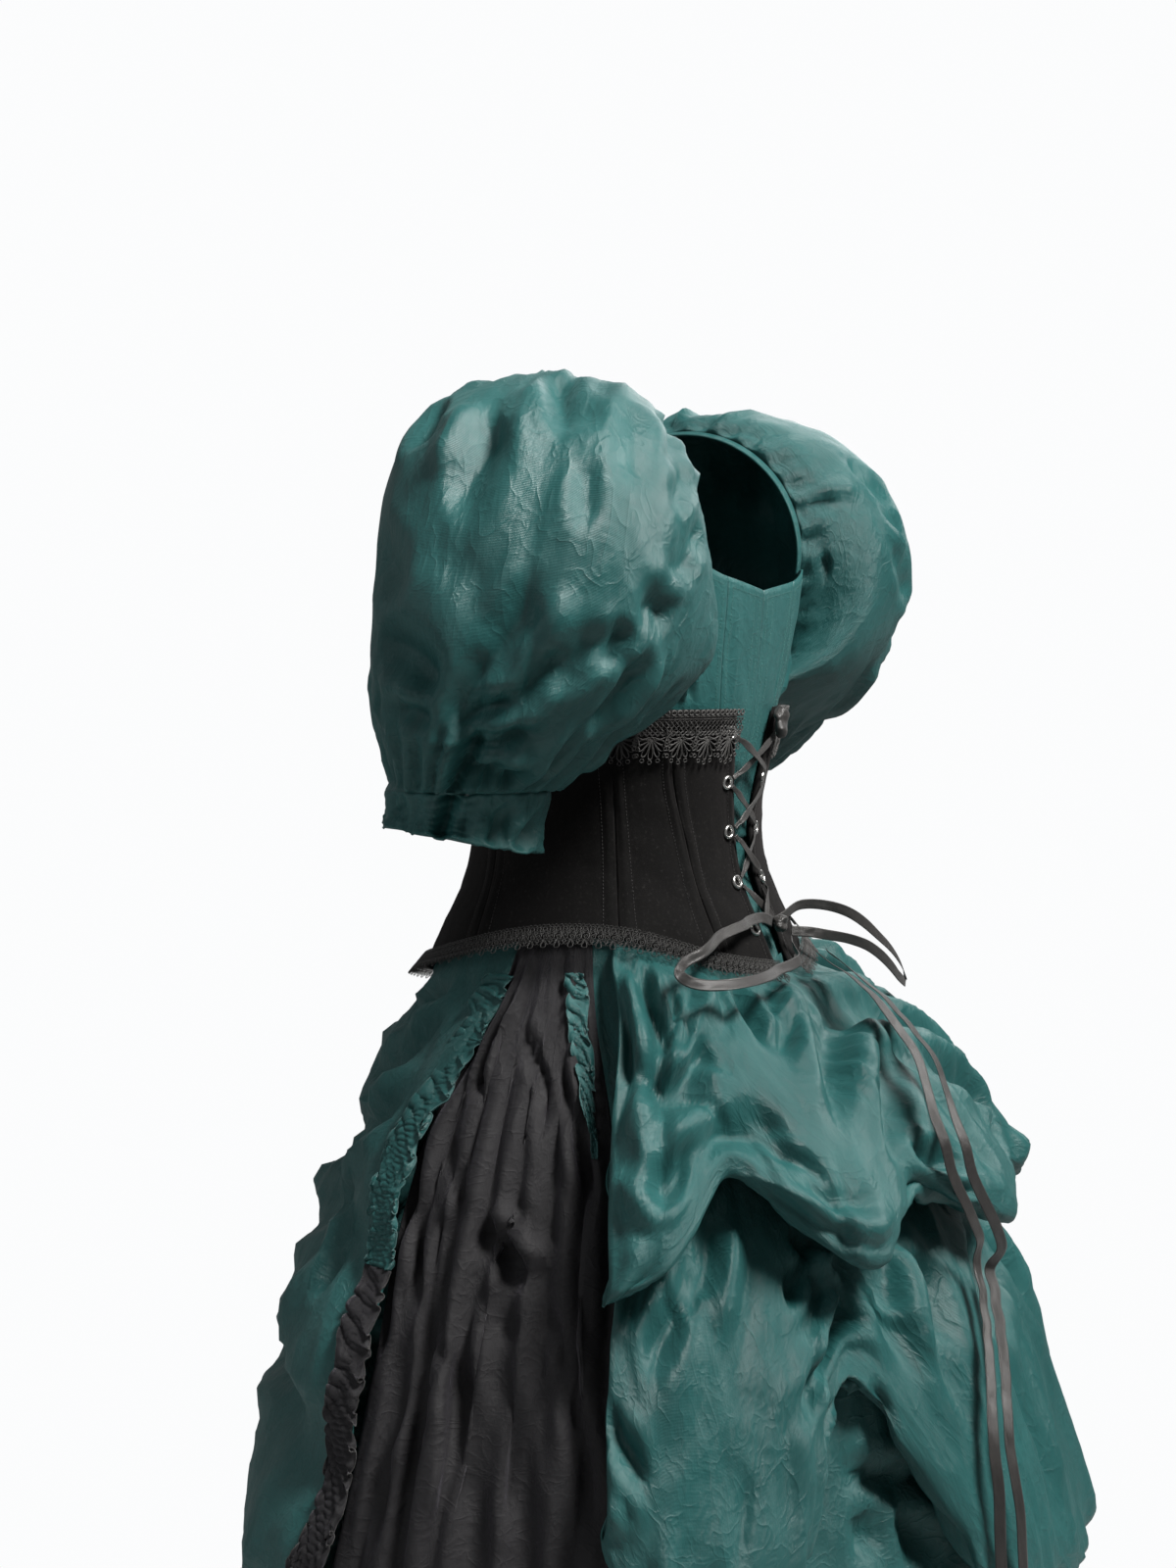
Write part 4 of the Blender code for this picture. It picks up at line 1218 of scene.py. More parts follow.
class Studio:
    """Camera, floor and soft lights."""

    azimuth: float = 118.0
    elevation: float = 3.4
    distance: float = 1.70
    aim_height: float = 0.14
    aside: float = 0.0246
    lens: float = 49.7
    ambient: float = 0.17
    floor_size: float = 0.95
    floor_drop: float = 0.02

    def basis(self) -> tuple[Vector, Vector, Vector]:
        """Directions back to the camera, to its right, and its place."""
        a, e = math.radians(self.azimuth), math.radians(self.elevation)
        back = Vector((math.sin(a) * math.cos(e), -math.cos(a) * math.cos(e), math.sin(e)))
        right = Vector((math.cos(a), math.sin(a), 0))
        stand = Vector((math.sin(a) * self.distance, -math.cos(a) * self.distance, self.aim_height))
        return back, right, stand - right * self.aside

    def camera(self) -> None:
        """Set the camera at the photograph's angle."""
        back, _, stand = self.basis()
        data = bpy.data.cameras.new("camera")
        data.lens = self.lens
        data.sensor_width = 36.0
        camera = bpy.data.objects.new("camera", data)
        bpy.context.scene.collection.objects.link(camera)
        camera.location = stand
        camera.rotation_euler = back.to_track_quat("Z", "Y").to_euler()
        bpy.context.scene.camera = camera

    def lamp(self, name: str, aside: float, height: float, near: float, size: float, power: float,
             tint: tuple[float, float, float]) -> None:
        """Add a soft box.

        Args:
            name: the lamp's name.
            aside: how far it stands to the camera's right.
            height: its height.
            near: how far it stands towards the camera.
            size: width of its face.
            power: its watts.
            tint: its colour.
        """
        back, right, _ = self.basis()
        data = bpy.data.lights.new(name, "AREA")
        data.size, data.energy, data.color = size, power, tint
        lamp = bpy.data.objects.new(name, data)
        bpy.context.scene.collection.objects.link(lamp)
        stand = Vector((back.x, back.y, 0)).normalized() * near + right * aside
        lamp.location = (stand.x, stand.y, height)
        aim = lamp.location - Vector((0, 0, -0.15))
        lamp.rotation_euler = aim.to_track_quat("Z", "Y").to_euler()

    def light(self) -> None:
        """Set soft lights and a pale surround."""
        self.lamp("key_softbox", 1.25, 2.0, 1.0, 0.7, 140, (1.0, 0.985, 0.96))
        self.lamp("fill_softbox", -1.9, 0.7, 1.2, 1.2, 7, (0.96, 0.98, 1.0))
        self.lamp("back_softbox", 1.0, 1.4, -1.9, 1.6, 22, (1.0, 1.0, 1.0))
        world = bpy.data.worlds.new("pale_surround")
        world.use_nodes = True
        ground = world.node_tree.nodes["Background"]
        ground.inputs["Color"].default_value = (0.97, 0.975, 0.98, 1.0)
        seen = world.node_tree.nodes.new("ShaderNodeLightPath")
        level = world.node_tree.nodes.new("ShaderNodeMapRange")
        level.inputs["To Min"].default_value = self.ambient
        level.inputs["To Max"].default_value = 1.0
        world.node_tree.links.new(seen.outputs["Is Camera Ray"], level.inputs["Value"])
        world.node_tree.links.new(level.outputs["Result"], ground.inputs["Strength"])
        bpy.context.scene.world = world
        bpy.context.scene.view_settings.view_transform = "Standard"

    def floor(self) -> None:
        """Lay a pale floor under the hem."""
        size, z = self.floor_size, HEM_Z - self.floor_drop
        points = np.array([(-size, -size, z), (size, -size, z), (size, size, z), (-size, size, z)])
        mesh = mesh_of("floor", points, np.array([[0, 1, 2, 3]]))
        add_object("floor", mesh, Paper().material())


def strip_place(edges: Span, heights: Span, radius: Callable[[Array, Array], Array]) -> Place:
    """Place function of a panel between two azimuths and two heights.

    Args:
        edges: azimuths of its edges at a height.
        heights: its top and foot at an azimuth.
        radius: its radius at an azimuth and a height.

    Returns:
        The place function.
    """
    def place(across: Array, down: Array) -> Array:
        start, end = edges(np.zeros_like(across))
        azimuth = start * (1 - across) + end * across
        z = np.zeros_like(across)
        for _ in range(4):
            top, foot = heights(azimuth)
            z = top + (foot - top) * down
            start, end = edges(z)
            azimuth = start + (end - start) * across
        return at(azimuth, radius(azimuth, z), z)
    return place


def clear_of_body(points: Array) -> Array:
    """Move sleeve cloth out to lie against the bodice where it would pass through it."""
    azimuth = azimuth_of(points)
    turn, z = np.abs(azimuth), points[..., 2]
    room = LACE_ROOM * smooth((LACE_TOP - z) / 0.012)
    clear = FORM.bodice(turn, z) + SLEEVE_ROOM + CLOTH + room
    radius = np.hypot(points[..., 0], points[..., 1])
    held = at(azimuth, np.maximum(clear, radius), z)
    return np.where((z > FORM.neck_rows.read(turn) + 0.012)[..., None], points, held)


def mirrored(place: Place, swing: bool = False) -> Place:
    """The same place on the wearer's right, running the same way round."""
    def other(across: Array, down: Array) -> Array:
        points = place(1.0 - across, down)
        lowered = smooth((0.25 - points[..., 2]) / 0.22) if swing else 0.0
        moved = np.stack([-points[..., 0], points[..., 1] - RIGHT_SWING * lowered,
                          points[..., 2] - RIGHT_DROP * lowered], axis=-1)
        return clear_of_body(moved) if swing else moved
    return other


def turned_over(folds: Sequence[Relief]) -> list[Relief]:
    """The same folds for a mirrored piece."""
    found: list[Relief] = []
    for relief in folds:
        if isinstance(relief, Crease):
            path = tuple((1.0 - x, y) for x, y in relief.path)
            found.append(Crease(path, relief.width, relief.depth, -relief.lean, relief.taper))
        else:
            found.append(relief)
    return found


def echoed(rows: Sequence[tuple], deeper: float, left: bool = True) -> list[Relief]:
    """Folds like a table's on the other half of a cloth, a little lower."""
    away = []
    for path, width, depth, lean in rows:
        middle = sum(x for x, _ in path) / len(path)
        if (middle > 0.58) == left and abs(middle - 0.5) > 0.08:
            away.append((tuple((1 - x, y + 0.035) for x, y in path), width * 1.1, depth, -lean))
    return creases(away, deeper)


def above_cincher(points: Array) -> Array:
    """1 on cloth above the cincher, 0 where the cincher presses on it."""
    return smooth((points[..., 2] - CINCHER_TOP + 0.004) / 0.022)


def below_cincher(points: Array) -> Array:
    """1 on cloth below the cincher, 0 where the cincher presses on it."""
    return smooth((FORM.hem(azimuth_of(points)) - points[..., 2] - 0.001) / 0.024)


def seam_turn(z: Array | float, azimuth: float) -> Array:
    """Half a seam's gap as an angle."""
    return np.degrees(0.5 * SEAM / FORM.figure(azimuth, z))


@dataclass
class Stitching:
    """Rows of machine stitches."""

    workshop: Workshop
    pitch: float = 0.0027
    long: float = 0.0021
    thick: float = 0.00028

    def motif(self) -> bpy.types.Mesh:
        """One stitch, dipping into the cloth at both ends."""
        share = np.linspace(-0.5, 0.5, 5)
        line = np.stack([share * self.long, np.zeros(5), 0.00022 - 0.0022 * share ** 2], axis=-1)
        return gather_tubes("stitch_motif", [(line, self.thick, False)])

    def row(self, name: str, paths: Sequence[tuple[str, Array]], slot: Slot,
            finish: bpy.types.Material) -> bpy.types.Object:
        """Sew along paths, each a cloth's name and places from 0 to 1 across and down it."""
        points, facing, along = [], [], []
        for cloth_name, path in paths:
            cloth = self.workshop.cloths[cloth_name]
            fine = np.linspace(0, 1, 400)
            keys = np.linspace(0, 1, len(path))
            across, down = np.interp(fine, keys, path[:, 0]), np.interp(fine, keys, path[:, 1])
            line, _ = cloth.sample(across, down)
            walked = walked_along(line)
            stops = np.arange(self.pitch, walked[-1] - self.pitch, self.pitch)
            share = np.interp(stops, walked, fine)
            spot, normal = cloth.sample(np.interp(share, fine, across), np.interp(share, fine, down))
            run = np.stack([np.interp(stops + 0.0006, walked, line[:, axis])
                            - np.interp(stops - 0.0006, walked, line[:, axis]) for axis in range(3)], axis=-1)
            points.append(spot)
            facing.append(normal)
            along.append(unit(run))
        marks = [np.concatenate(values) for values in (points, facing, along)]
        piece = self.workshop.repeater.repeat(name, self.motif(), *marks, finish)
        return self.workshop.keep(piece, slot)


@dataclass
class Bodice:
    """Back, side and front panels, from the waist to the neckline."""

    workshop: Workshop
    gap: float = 0.14

    def heights(self, azimuth: Array) -> tuple[Array, Array]:
        """Top and foot of the panels."""
        return FORM.neck_rows.read(turn_of(azimuth)), np.full_like(azimuth, SEAM)

    def princess(self, z: Array) -> Array:
        """Azimuth of the princess seam."""
        return 20.0 + 7.0 * smooth(z / 0.15)

    def side_seam(self, z: Array) -> Array:
        """Azimuth of the side seam."""
        return 86.0 + 4.0 * smooth(z / 0.12)

    def back_folds(self) -> list[Relief]:
        """Slight pulls beside the centre back."""
        return [Wrinkles(0.0009, 0.020, 0.060, 11), Wrinkles(0.0004, 0.006, 0.030, 12, True),
                Crease(((0.80, 0.10), (0.86, 0.45), (0.83, 0.9)), 0.0045, -0.0012),
                Crease(((0.42, 0.30), (0.50, 0.55), (0.47, 0.85)), 0.006, 0.0010),
                Crease(((0.95, 0.25), (0.90, 0.50), (0.93, 0.8)), 0.003, 0.0010)]

    def side_folds(self) -> list[Relief]:
        """Loose upright folds where the cloth is drawn into the cincher."""
        return [Wrinkles(0.0012, 0.024, 0.070, 21), Wrinkles(0.0005, 0.007, 0.034, 22, True),
                *creases(BODICE_SIDE_FOLDS)]

    def front_folds(self) -> list[Relief]:
        """Darts under the cups and soft pulls."""
        folds: list[Relief] = [Wrinkles(0.0010, 0.030, 0.060, 31), Wrinkles(0.0004, 0.008, 0.030, 32, True)]
        for side in (-1, 1):
            for offset, lean in ((0.14, 0.01), (0.20, -0.015)):
                x = 0.5 + side * offset
                path = ((x, 0.30), (x + side * lean, 0.55), (x + side * lean * 1.6, 0.95))
                folds.append(Crease(path, 0.0035, -0.0016))
        return folds

    def build(self) -> None:
        """Cut and lay the five panels, then sew them."""
        shop = self.workshop
        back, side, front = (strip_place(edges, self.heights, FORM.bodice) for edges in (
            lambda z: (np.full_like(z, self.gap), self.princess(z) - self.gap),
            lambda z: (self.princess(z) + self.gap, self.side_seam(z) - self.gap),
            lambda z: (self.side_seam(z) + self.gap, 360 - self.side_seam(z) - self.gap)))
        for name, place, folds in (("bodice_back", back, self.back_folds()),
                                   ("bodice_side", side, self.side_folds())):
            for word, laid, turned in (("left", place, folds),
                                       ("right", mirrored(place), turned_over(folds))):
                node = f"{name}_{word}"
                shop.cut(sheet_of(node, laid, turned, edge=0.003, under=above_cincher), Slot.SATEEN, node,
                         Held.STRETCHED, 1.02, [f"cincher_panel_1_{word}"])
        shop.cut(sheet_of("bodice_front", front, self.front_folds(), edge=0.003, under=above_cincher),
                 Slot.SATEEN, "bodice_front", Held.STRETCHED, 1.05,
                 ["cincher_panel_4_left", "cincher_panel_4_right"])
        self.sew()

    def sew(self) -> None:
        """Channel stitches beside the centre back, seam stitches and the turned top edge."""
        paths = []
        down = np.linspace(0.03, 0.97, 12)
        panels = (("bodice_back", (0.12, 0.30, 0.90)), ("bodice_side", (0.035, 0.965)))
        for side, inset in (("left", 0.0), ("right", 1.0)):
            paths += [(f"{name}_{side}_cloth", pairs(abs(inset - share), down))
                      for name, shares in panels for share in shares]
            paths += [(f"{name}_{side}_cloth", pairs(np.linspace(0.02, 0.98, 16), 0.035))
                      for name, _ in panels]
        paths.append(("bodice_front_cloth", pairs(np.linspace(0.01, 0.99, 60), 0.035)))
        Stitching(self.workshop).row("bodice_stitches", paths, Slot.SATEEN, self.workshop.finishes.thread)


@dataclass
class Sleeves:
    """Two balloon sleeves with their flounces and neck bands."""

    workshop: Workshop
    rings: Table = Table((
        (0, 0.130, 0.000, 0.230, -8, 0.096, 0.100), (1, 0.142, 0.010, 0.234, -4, 0.105, 0.112),
        (2, 0.162, 0.028, 0.226, 15, 0.112, 0.118), (3, 0.185, 0.040, 0.205, 38, 0.112, 0.120),
        (4, 0.210, 0.043, 0.163, 62, 0.100, 0.118), (5, 0.226, 0.034, 0.120, 78, 0.088, 0.108),
        (6, 0.234, 0.018, 0.080, 86, 0.070, 0.084), (7, 0.236, 0.004, 0.048, 90, 0.054, 0.058)))
    flounce_rings: Table = Table((
        (0, 0.236, 0.004, 0.048, 90, 0.054, 0.058), (1, 0.237, 0.001, 0.024, 90, 0.051, 0.053),
        (2, 0.238, 0.000, 0.006, 90, 0.053, 0.055)))
    channel_lift: float = 0.014
    squareness: float = 0.7
    ripples: int = 9
    ripple_depth: float = 0.0024
    hem_tilt: float = 0.007
    band_start: float = -0.252
    band_reach: float = 0.54

    def ring_point(self, rings: Table, around: Array, along: Array) -> Array:
        """Points on the left sleeve, by shares of the way round and down, kept clear of the bodice."""
        position = along * (len(rings.rows) - 1)
        x, y, z, tilt, high, deep = (rings.read(position, column) for column in range(1, 7))
        turn = 2 * math.pi * around
        lean = np.radians(tilt)
        power = 2.0 + (self.squareness * np.sin(math.pi * along) if rings is self.rings else 0.0 * along)
        full = (np.abs(np.cos(turn)) ** power + np.abs(np.sin(turn)) ** power) ** (-1.0 / power)
        rise, aside = high * np.cos(turn) * full, deep * np.sin(turn) * full
        points = np.stack([x + np.sin(lean) * rise, y + aside, z + np.cos(lean) * rise], axis=-1)
        return clear_of_body(points)

    def puff(self, around: Array, along: Array) -> Array:
        """Point on the left balloon."""
        return self.ring_point(self.rings, around, along)

    def flounce(self, around: Array, along: Array) -> Array:
        """Point on the left flounce."""
        points = self.ring_point(self.flounce_rings, around, along)
        drawn = self.channel_lift * along * (0.5 + 0.5 * np.cos(2 * math.pi * around))
        lift = drawn - 0.3 * SEAM * (1 - along)
        centre = np.array([0.236, 0.004, 0.0])
        away = points - centre
        away[..., 2] = 0.0
        away = unit(away)
        ripple = self.ripple_depth * np.cos(2 * math.pi * around * self.ripples) * along
        points = points + away * ripple[..., None]
        points[..., 2] += lift - self.hem_tilt * along * np.sin(2 * math.pi * around)
        return points

    def neck_band(self, along: Array, across: Array) -> Array:
        """Point on the left neck band, inside the sleeve's gathered edge."""
        around = self.band_start + self.band_reach * along
        points = self.ring_point(self.rings, around % 1.0, np.zeros_like(along))
        inwards = np.array([-0.93, 0.0, -0.37])
        return points + inwards * (SEAM + 0.001 + RIBBON_WIDTH * across)[..., None]

    def folds(self, seed: int) -> list[Relief]:
        """Gathers at both ends and the balloon's own wrinkles."""
        hollow = Crease(((0.82, 0.40), (0.84, 0.80), (0.86, 1.30)), 0.050, -0.015)
        return [Gathers(26, 0.0066, 0.070, seed), Gathers(24, 0.0085, 0.120, seed + 1, True), hollow,
                Wrinkles(0.0030, 0.060, 0.120, seed + 2), Wrinkles(0.0016, 0.030, 0.070, seed + 3, True, 1.6),
                Wrinkles(0.0010, 0.011, 0.024, seed + 4, True, 1.2), *creases(BALLOON_FOLDS, 1.4),
                *strewn(34, seed + 5, (0, 1, 0.00, 0.12), (0.06, 0.26), 0.0055, 0.0044, 0, 0.30),
                *strewn(44, seed + 6, (0, 1, 0.62, 0.86), (0.07, 0.26), 0.0055, 0.0042, 0, 0.30),
                Crease(((0.055, 0.80), (0.05, 0.95), (0.048, 1.10)), 0.007, -0.015),
                *self.drawn_up(np.arange(0.865, 0.99, 0.011), 0.05)]

    def ruched(self, seed: int) -> list[Relief]:
        """Folds of a flounce, which its channel draws up."""
        return [Gathers(26, 0.0034, 0.03, seed + 6),
                Crease(((0.05, -0.4), (0.045, 0.5), (0.035, 1.4)), 0.005, -0.010),
                *self.drawn_up(np.arange(0.05, 0.98, 0.085), 0.043),
                Wrinkles(0.0024, 0.020, 0.030, seed + 7), Wrinkles(0.0009, 0.008, 0.012, seed + 8, True),
                *creases(FLOUNCE_FOLDS, 1.4),
                *strewn(46, seed + 11, (0, 1, 0.0, 0.5), (0.03, 0.9), 0.0030, 0.0022, 0, 0.3)]

    def drawn_up(self, drops: Array, turn: float) -> list[Relief]:
        """Small cross pleats either side of the channel that draws the sleeve's hem up."""
        return [Crease(((turn - 0.060, drop - 0.004), (turn, drop), (turn + 0.075, drop - 0.006)), 0.0026,
                       -0.0075 if number % 2 else 0.0055, 0.0, 0.45) for number, drop in enumerate(drops)]

    def build(self) -> None:
        """Cut both sleeves, flounces and neck bands."""
        shop = self.workshop
        for side, right in (("left", False), ("right", True)):
            puff = mirrored(self.puff, True) if right else self.puff
            flounce = mirrored(self.flounce, True) if right else self.flounce
            band = mirrored(self.neck_band) if right else self.neck_band
            seed = 50 if right else 40
            folds = turned_over(self.folds(seed)) if right else self.folds(seed)
            shop.cut(sheet_of(f"sleeve_puff_{side}", puff, folds, closed=True, flip=True), Slot.SATEEN,
                     f"sleeve_puff_{side}", Held.GATHERED, 1.15, [f"bodice_side_{side}_cloth"])
            shop.cut(sheet_of(f"sleeve_flounce_{side}", flounce, self.ruched(seed), closed=True, flip=True,
                              edge=0.002), Slot.SATEEN, f"sleeve_flounce_{side}", Held.GATHERED, 1.2,
                     [f"sleeve_puff_{side}_cloth"])
            banded = [Wrinkles(0.0006, 0.005, 0.012, seed + 9, True)]
            shop.cut(sheet_of(f"neck_band_{side}", band, banded, edge=0.001), Slot.SATEEN,
                     f"neck_band_{side}", Held.GATHERED, 1.1, [f"sleeve_puff_{side}_cloth"])


@dataclass
class Cincher:
    """Velvet panels, eight in all, with boned seams."""

    workshop: Workshop
    front_seam: float = 112.0
    front_edge: float = 179.6
    widths: tuple[float, ...] = (0.065, 0.055, 0.10, 0.15)
    columns: tuple[int, ...] = (44, 44, 60, 90)
    rows: int = 34
    stitch_inset: float = 0.0095

    def seam(self, z: Array, column: int) -> Array:
        """Azimuth of one of the seams at a height."""
        return CINCHER_SEAMS.read(z, column)

    def spans(self) -> list[Span]:
        """Edges of the four left panels."""
        return [lambda z: (self.seam(z, 1), self.seam(z, 2)), lambda z: (self.seam(z, 2), self.seam(z, 3)),
                lambda z: (self.seam(z, 3), np.full_like(z, self.front_seam)),
                lambda z: (np.full_like(z, self.front_seam), np.full_like(z, self.front_edge))]

    def heights(self, azimuth: Array) -> tuple[Array, Array]:
        """Top and foot of the panels."""
        return np.full_like(azimuth, CINCHER_TOP), FORM.hem(azimuth)

    def boning(self, wide: float, seed: int) -> list[Relief]:
        """Bones beside the seams and the pull across the panel."""
        first, last = 0.005 / wide, 1 - 0.005 / wide
        return [Crease(((first, 0.0), (first, 0.5), (first, 1.0)), 0.0030, 0.0010, taper=0.02),
                Crease(((last, 0.0), (last, 0.5), (last, 1.0)), 0.0030, 0.0010, taper=0.02),
                Crease(((0.0, 0.70), (0.5, 0.715), (1.0, 0.70)), 0.0022, -0.0006, taper=0.01),
                Wrinkles(0.0010, 0.050, 0.035, seed), Wrinkles(0.0004, 0.014, 0.010, seed + 1)]

    def build(self) -> None:
        """Cut the panels."""
        shop = self.workshop
        for number, span in enumerate(self.spans(), 1):
            def edges(z: Array, span: Callable = span) -> tuple[Array, Array]:
                start, end = span(z)
                return start + seam_turn(z, 45), end - seam_turn(z, 45)
            place = strip_place(edges, self.heights, FORM.figure)
            columns, wide = self.columns[number - 1], self.widths[number - 1]
            for side, laid in (("left", place), ("right", mirrored(place))):
                name = f"cincher_panel_{number}_{side}"
                folds = self.boning(wide, 60 + number)
                cloth = Cloth(name + "_velvet", laid, columns, self.rows, folds, VELVET, edge=0.0012)
                shop.cut(cloth, Slot.VELVET, name, Held.STRETCHED, 1.0, [f"bodice_side_{side}_cloth"])
        self.sew()

    def sew(self) -> None:
        """Stitches beside the bones and round the edges."""
        paths = []
        down = np.linspace(0.02, 0.98, 16)
        for side in ("left", "right"):
            for number, wide in enumerate(self.widths, 1):
                name = f"cincher_panel_{number}_{side}_velvet"
                for inset in (self.stitch_inset, wide - self.stitch_inset):
                    share = inset / wide
                    share = 1 - share if side == "right" else share
                    paths.append((name, pairs(share, down)))
                paths.append((name, pairs(np.linspace(0.01, 0.99, 20), 0.982)))
        Stitching(self.workshop).row("cincher_stitches", paths, Slot.VELVET,
                                     self.workshop.finishes.black_thread)


@dataclass
class Lace:
    """Guipure lace round the cincher: a deep one at the top and a narrow one at the hem."""

    workshop: Workshop
    top_depth: float = 0.042
    hem_depth: float = 0.021
    top_pitch: float = 0.025
    hem_pitch: float = 0.011
    thread: float = 0.00043
    heading_lift: float = 0.0030
    foot_lift: float = 0.0012
    hem_flare: float = 0.015
    marks: int = 900

    def ring(self, x: float, y: float, radius: float, steps: int = 8) -> Array:
        """A small ring of thread in the lace's flat frame."""
        turn = np.linspace(0, 2 * math.pi, steps, endpoint=False)
        return np.stack([x + radius * np.cos(turn), y + radius * np.sin(turn), np.zeros(steps)], axis=-1)

    def line(self, *points: tuple[float, float]) -> Array:
        """A thread through flat points."""
        return np.array([(x, y, 0.0) for x, y in points])

    def petal(self, x: float, y: float, angle: float, long: float, wide: float) -> Array:
        """A leaf-shaped loop of thread that starts at a point."""
        share = np.linspace(0, 1, 12, endpoint=False)
        out = long * np.sin(math.pi * share)
        aside = wide * np.sin(2 * math.pi * share) * (0.4 + 0.6 * np.sin(math.pi * share))
        c, s = math.cos(angle), math.sin(angle)
        return np.stack([x + out * c - aside * s, y + out * s + aside * c, np.zeros(12)], axis=-1)

    def top_motif(self) -> bpy.types.Mesh:
        """One repeat of the deep lace: X along, Y up, from its heading down to the scallop."""
        pitch, depth, thin = self.top_pitch, self.top_depth, self.thread
        half = pitch / 2
        lines: list[tuple[Array, float, bool]] = []
        for step in range(5):
            x = -half + (step + 0.5) * pitch / 5
            lines.append((self.ring(x, -0.0024, 0.0019), thin * 1.6, True))
        along = np.linspace(-half, half, 13)
        for level, phase in ((-0.0052, 0.0), (-0.0052, math.pi), (-0.0072, 0.0), (-0.0072, math.pi)):
            wave = level + 0.0005 * np.sin(along / pitch * 12 * math.pi + phase)
            lines.append((np.stack([along, wave, np.zeros(13)], axis=-1), thin * 1.5, False))
        rows, top, foot = 3, -0.0080, -0.0200
        cell = pitch / 6
        for step in range(6):
            for lean in (1, -1):
                x = -half + (step + 0.5) * cell
                points = [(x + lean * cell * (0.5 - row % 2) * 0.9, top + (foot - top) * row / rows)
                          for row in range(rows + 1)]
                lines.append((self.line(*points), thin * 1.25, False))
        hub = (0.0, -0.0225)
        for number in range(7):
            angle = math.radians(-162 + 24 * number)
            long = (0.0105, 0.0130, 0.0150, 0.0160, 0.0150, 0.0130, 0.0105)[number]
            lines.append((self.petal(*hub, angle, long, 0.0021), thin * 1.15, True))
        lines.append((self.ring(*hub, 0.0018), thin * 1.3, True))
        for number in range(9):
            angle = math.radians(-172 + 20.5 * number)
            reach = 0.0125 + 0.0055 * math.sin(math.radians(22.5 * number)) ** 0.8
            x, y = hub[0] + reach * math.cos(angle) * 0.98, hub[1] + reach * math.sin(angle)
            lines.append((self.ring(x, max(y, -depth + 0.0012), 0.0015, 7), thin, True))
        for side in (-1, 1):
            lines.append((self.petal(side * half, -0.0195, math.radians(-90), 0.0085, 0.0019), thin, True))
            lines.append((self.petal(side * half, -0.0195, math.radians(90), 0.0065, 0.0022), thin, True))
            arch = [(side * half * (1 - share), -0.0195 - 0.003 * math.sin(math.pi * share))
                    for share in np.linspace(0, 0.86, 6)]
            lines.append((self.line(*arch), thin * 1.2, False))
        for step in range(7):
            x = -half + (step + 0.5) * pitch / 7
            lines.append((self.ring(x, -0.0180, 0.0014, 6), thin * 0.9, True))
        return gather_tubes("lace_top_motif", lines)

    def hem_motif(self) -> bpy.types.Mesh:
        """One repeat of the narrow lace, ending in a picot."""
        pitch, thin = self.hem_pitch, self.thread * 0.75
        half = pitch / 2
        lines: list[tuple[Array, float, bool]] = []
        along = np.linspace(-half, half, 9)
        for level, phase in ((-0.0008, 0.0), (-0.0024, math.pi), (-0.0130, 0.0)):
            wave = level + 0.0006 * np.sin(along / pitch * 6 * math.pi + phase)
            lines.append((np.stack([along, wave, np.zeros(9)], axis=-1), thin * 1.25, False))
        for x in (-half * 0.5, half * 0.5):
            lines.append((self.petal(x, -0.0078, math.radians(62), 0.0055, 0.0020), thin * 1.2, True))
            lines.append((self.petal(x, -0.0078, math.radians(-118), 0.0055, 0.0020), thin * 1.2, True))
            lines.append((self.ring(x, -0.0078, 0.0013, 6), thin * 1.2, True))
        for x in (-half, 0.0):
            lines.append((self.ring(x, -0.0060, 0.0016, 7), thin, True))
            lines.append((self.ring(x, -0.0104, 0.0014, 6), thin, True))
        lines.append((self.petal(0.0, -0.0135, math.radians(-90), 0.0068, 0.0024), thin * 1.15, True))
        for side in (-1, 1):
            angle = math.radians(-90 + side * 46)
            lines.append((self.petal(side * 0.0006, -0.0135, angle, 0.0056, 0.0016), thin, True))
            lines.append((self.ring(side * half * 0.96, -0.0150, 0.0013, 6), thin, True))
        return gather_tubes("lace_hem_motif", lines)

    def guide(self, upper: bool, side: int) -> tuple[Array, Array, Array]:
        """Points, outward and running directions of the repeats, side 1 being the wearer's left."""
        start = float(CINCHER_SEAMS.read(0.08 if upper else -0.1)) + 0.4
        azimuth = np.linspace(start, 179.3, self.marks)
        top = np.full(self.marks, CINCHER_TOP + 0.0005) if upper else FORM.hem(azimuth) + 0.010
        depth = self.top_depth if upper else self.hem_depth
        foot = top - depth

        def edge(z: Array, out: float) -> Array:
            held = z if upper else np.maximum(z, FORM.hem(azimuth))
            return at(side * azimuth, FORM.figure(azimuth, held) + out, z)

        high = edge(top, LACE_OFF + self.heading_lift)
        low = edge(foot, LACE_OFF + self.foot_lift + (0.0 if upper else self.hem_flare))
        middle = (high + low) / 2
        walked = walked_along(middle)
        pitch = self.top_pitch if upper else self.hem_pitch
        count = round(walked[-1] / pitch)
        stops = (np.arange(count) + 0.5) * walked[-1] / count

        def pick(values: Array, where: Array) -> Array:
            return np.stack([np.interp(where, walked, values[:, axis]) for axis in range(3)], axis=-1)

        run = unit(pick(high, stops + 0.002) - pick(high, stops - 0.002)) * -side
        rise = pick(high, stops) - pick(low, stops)
        return pick(high, stops), unit(np.cross(run, rise)), run

    def build(self) -> None:
        """Set both laces round both halves."""
        finishes = self.workshop.finishes
        for name, upper, motif, finish in (("lace_top", True, self.top_motif(), finishes.lace),
                                           ("lace_hem", False, self.hem_motif(), finishes.hem_lace)):
            for side, word in SIDES:
                piece = self.workshop.repeater.repeat(f"{name}_{word}_threads", motif.copy(),
                                                      *self.guide(upper, side), finish, 0.01)
                self.workshop.keep(piece, Slot.LACE, (f"{name}_{word}",))


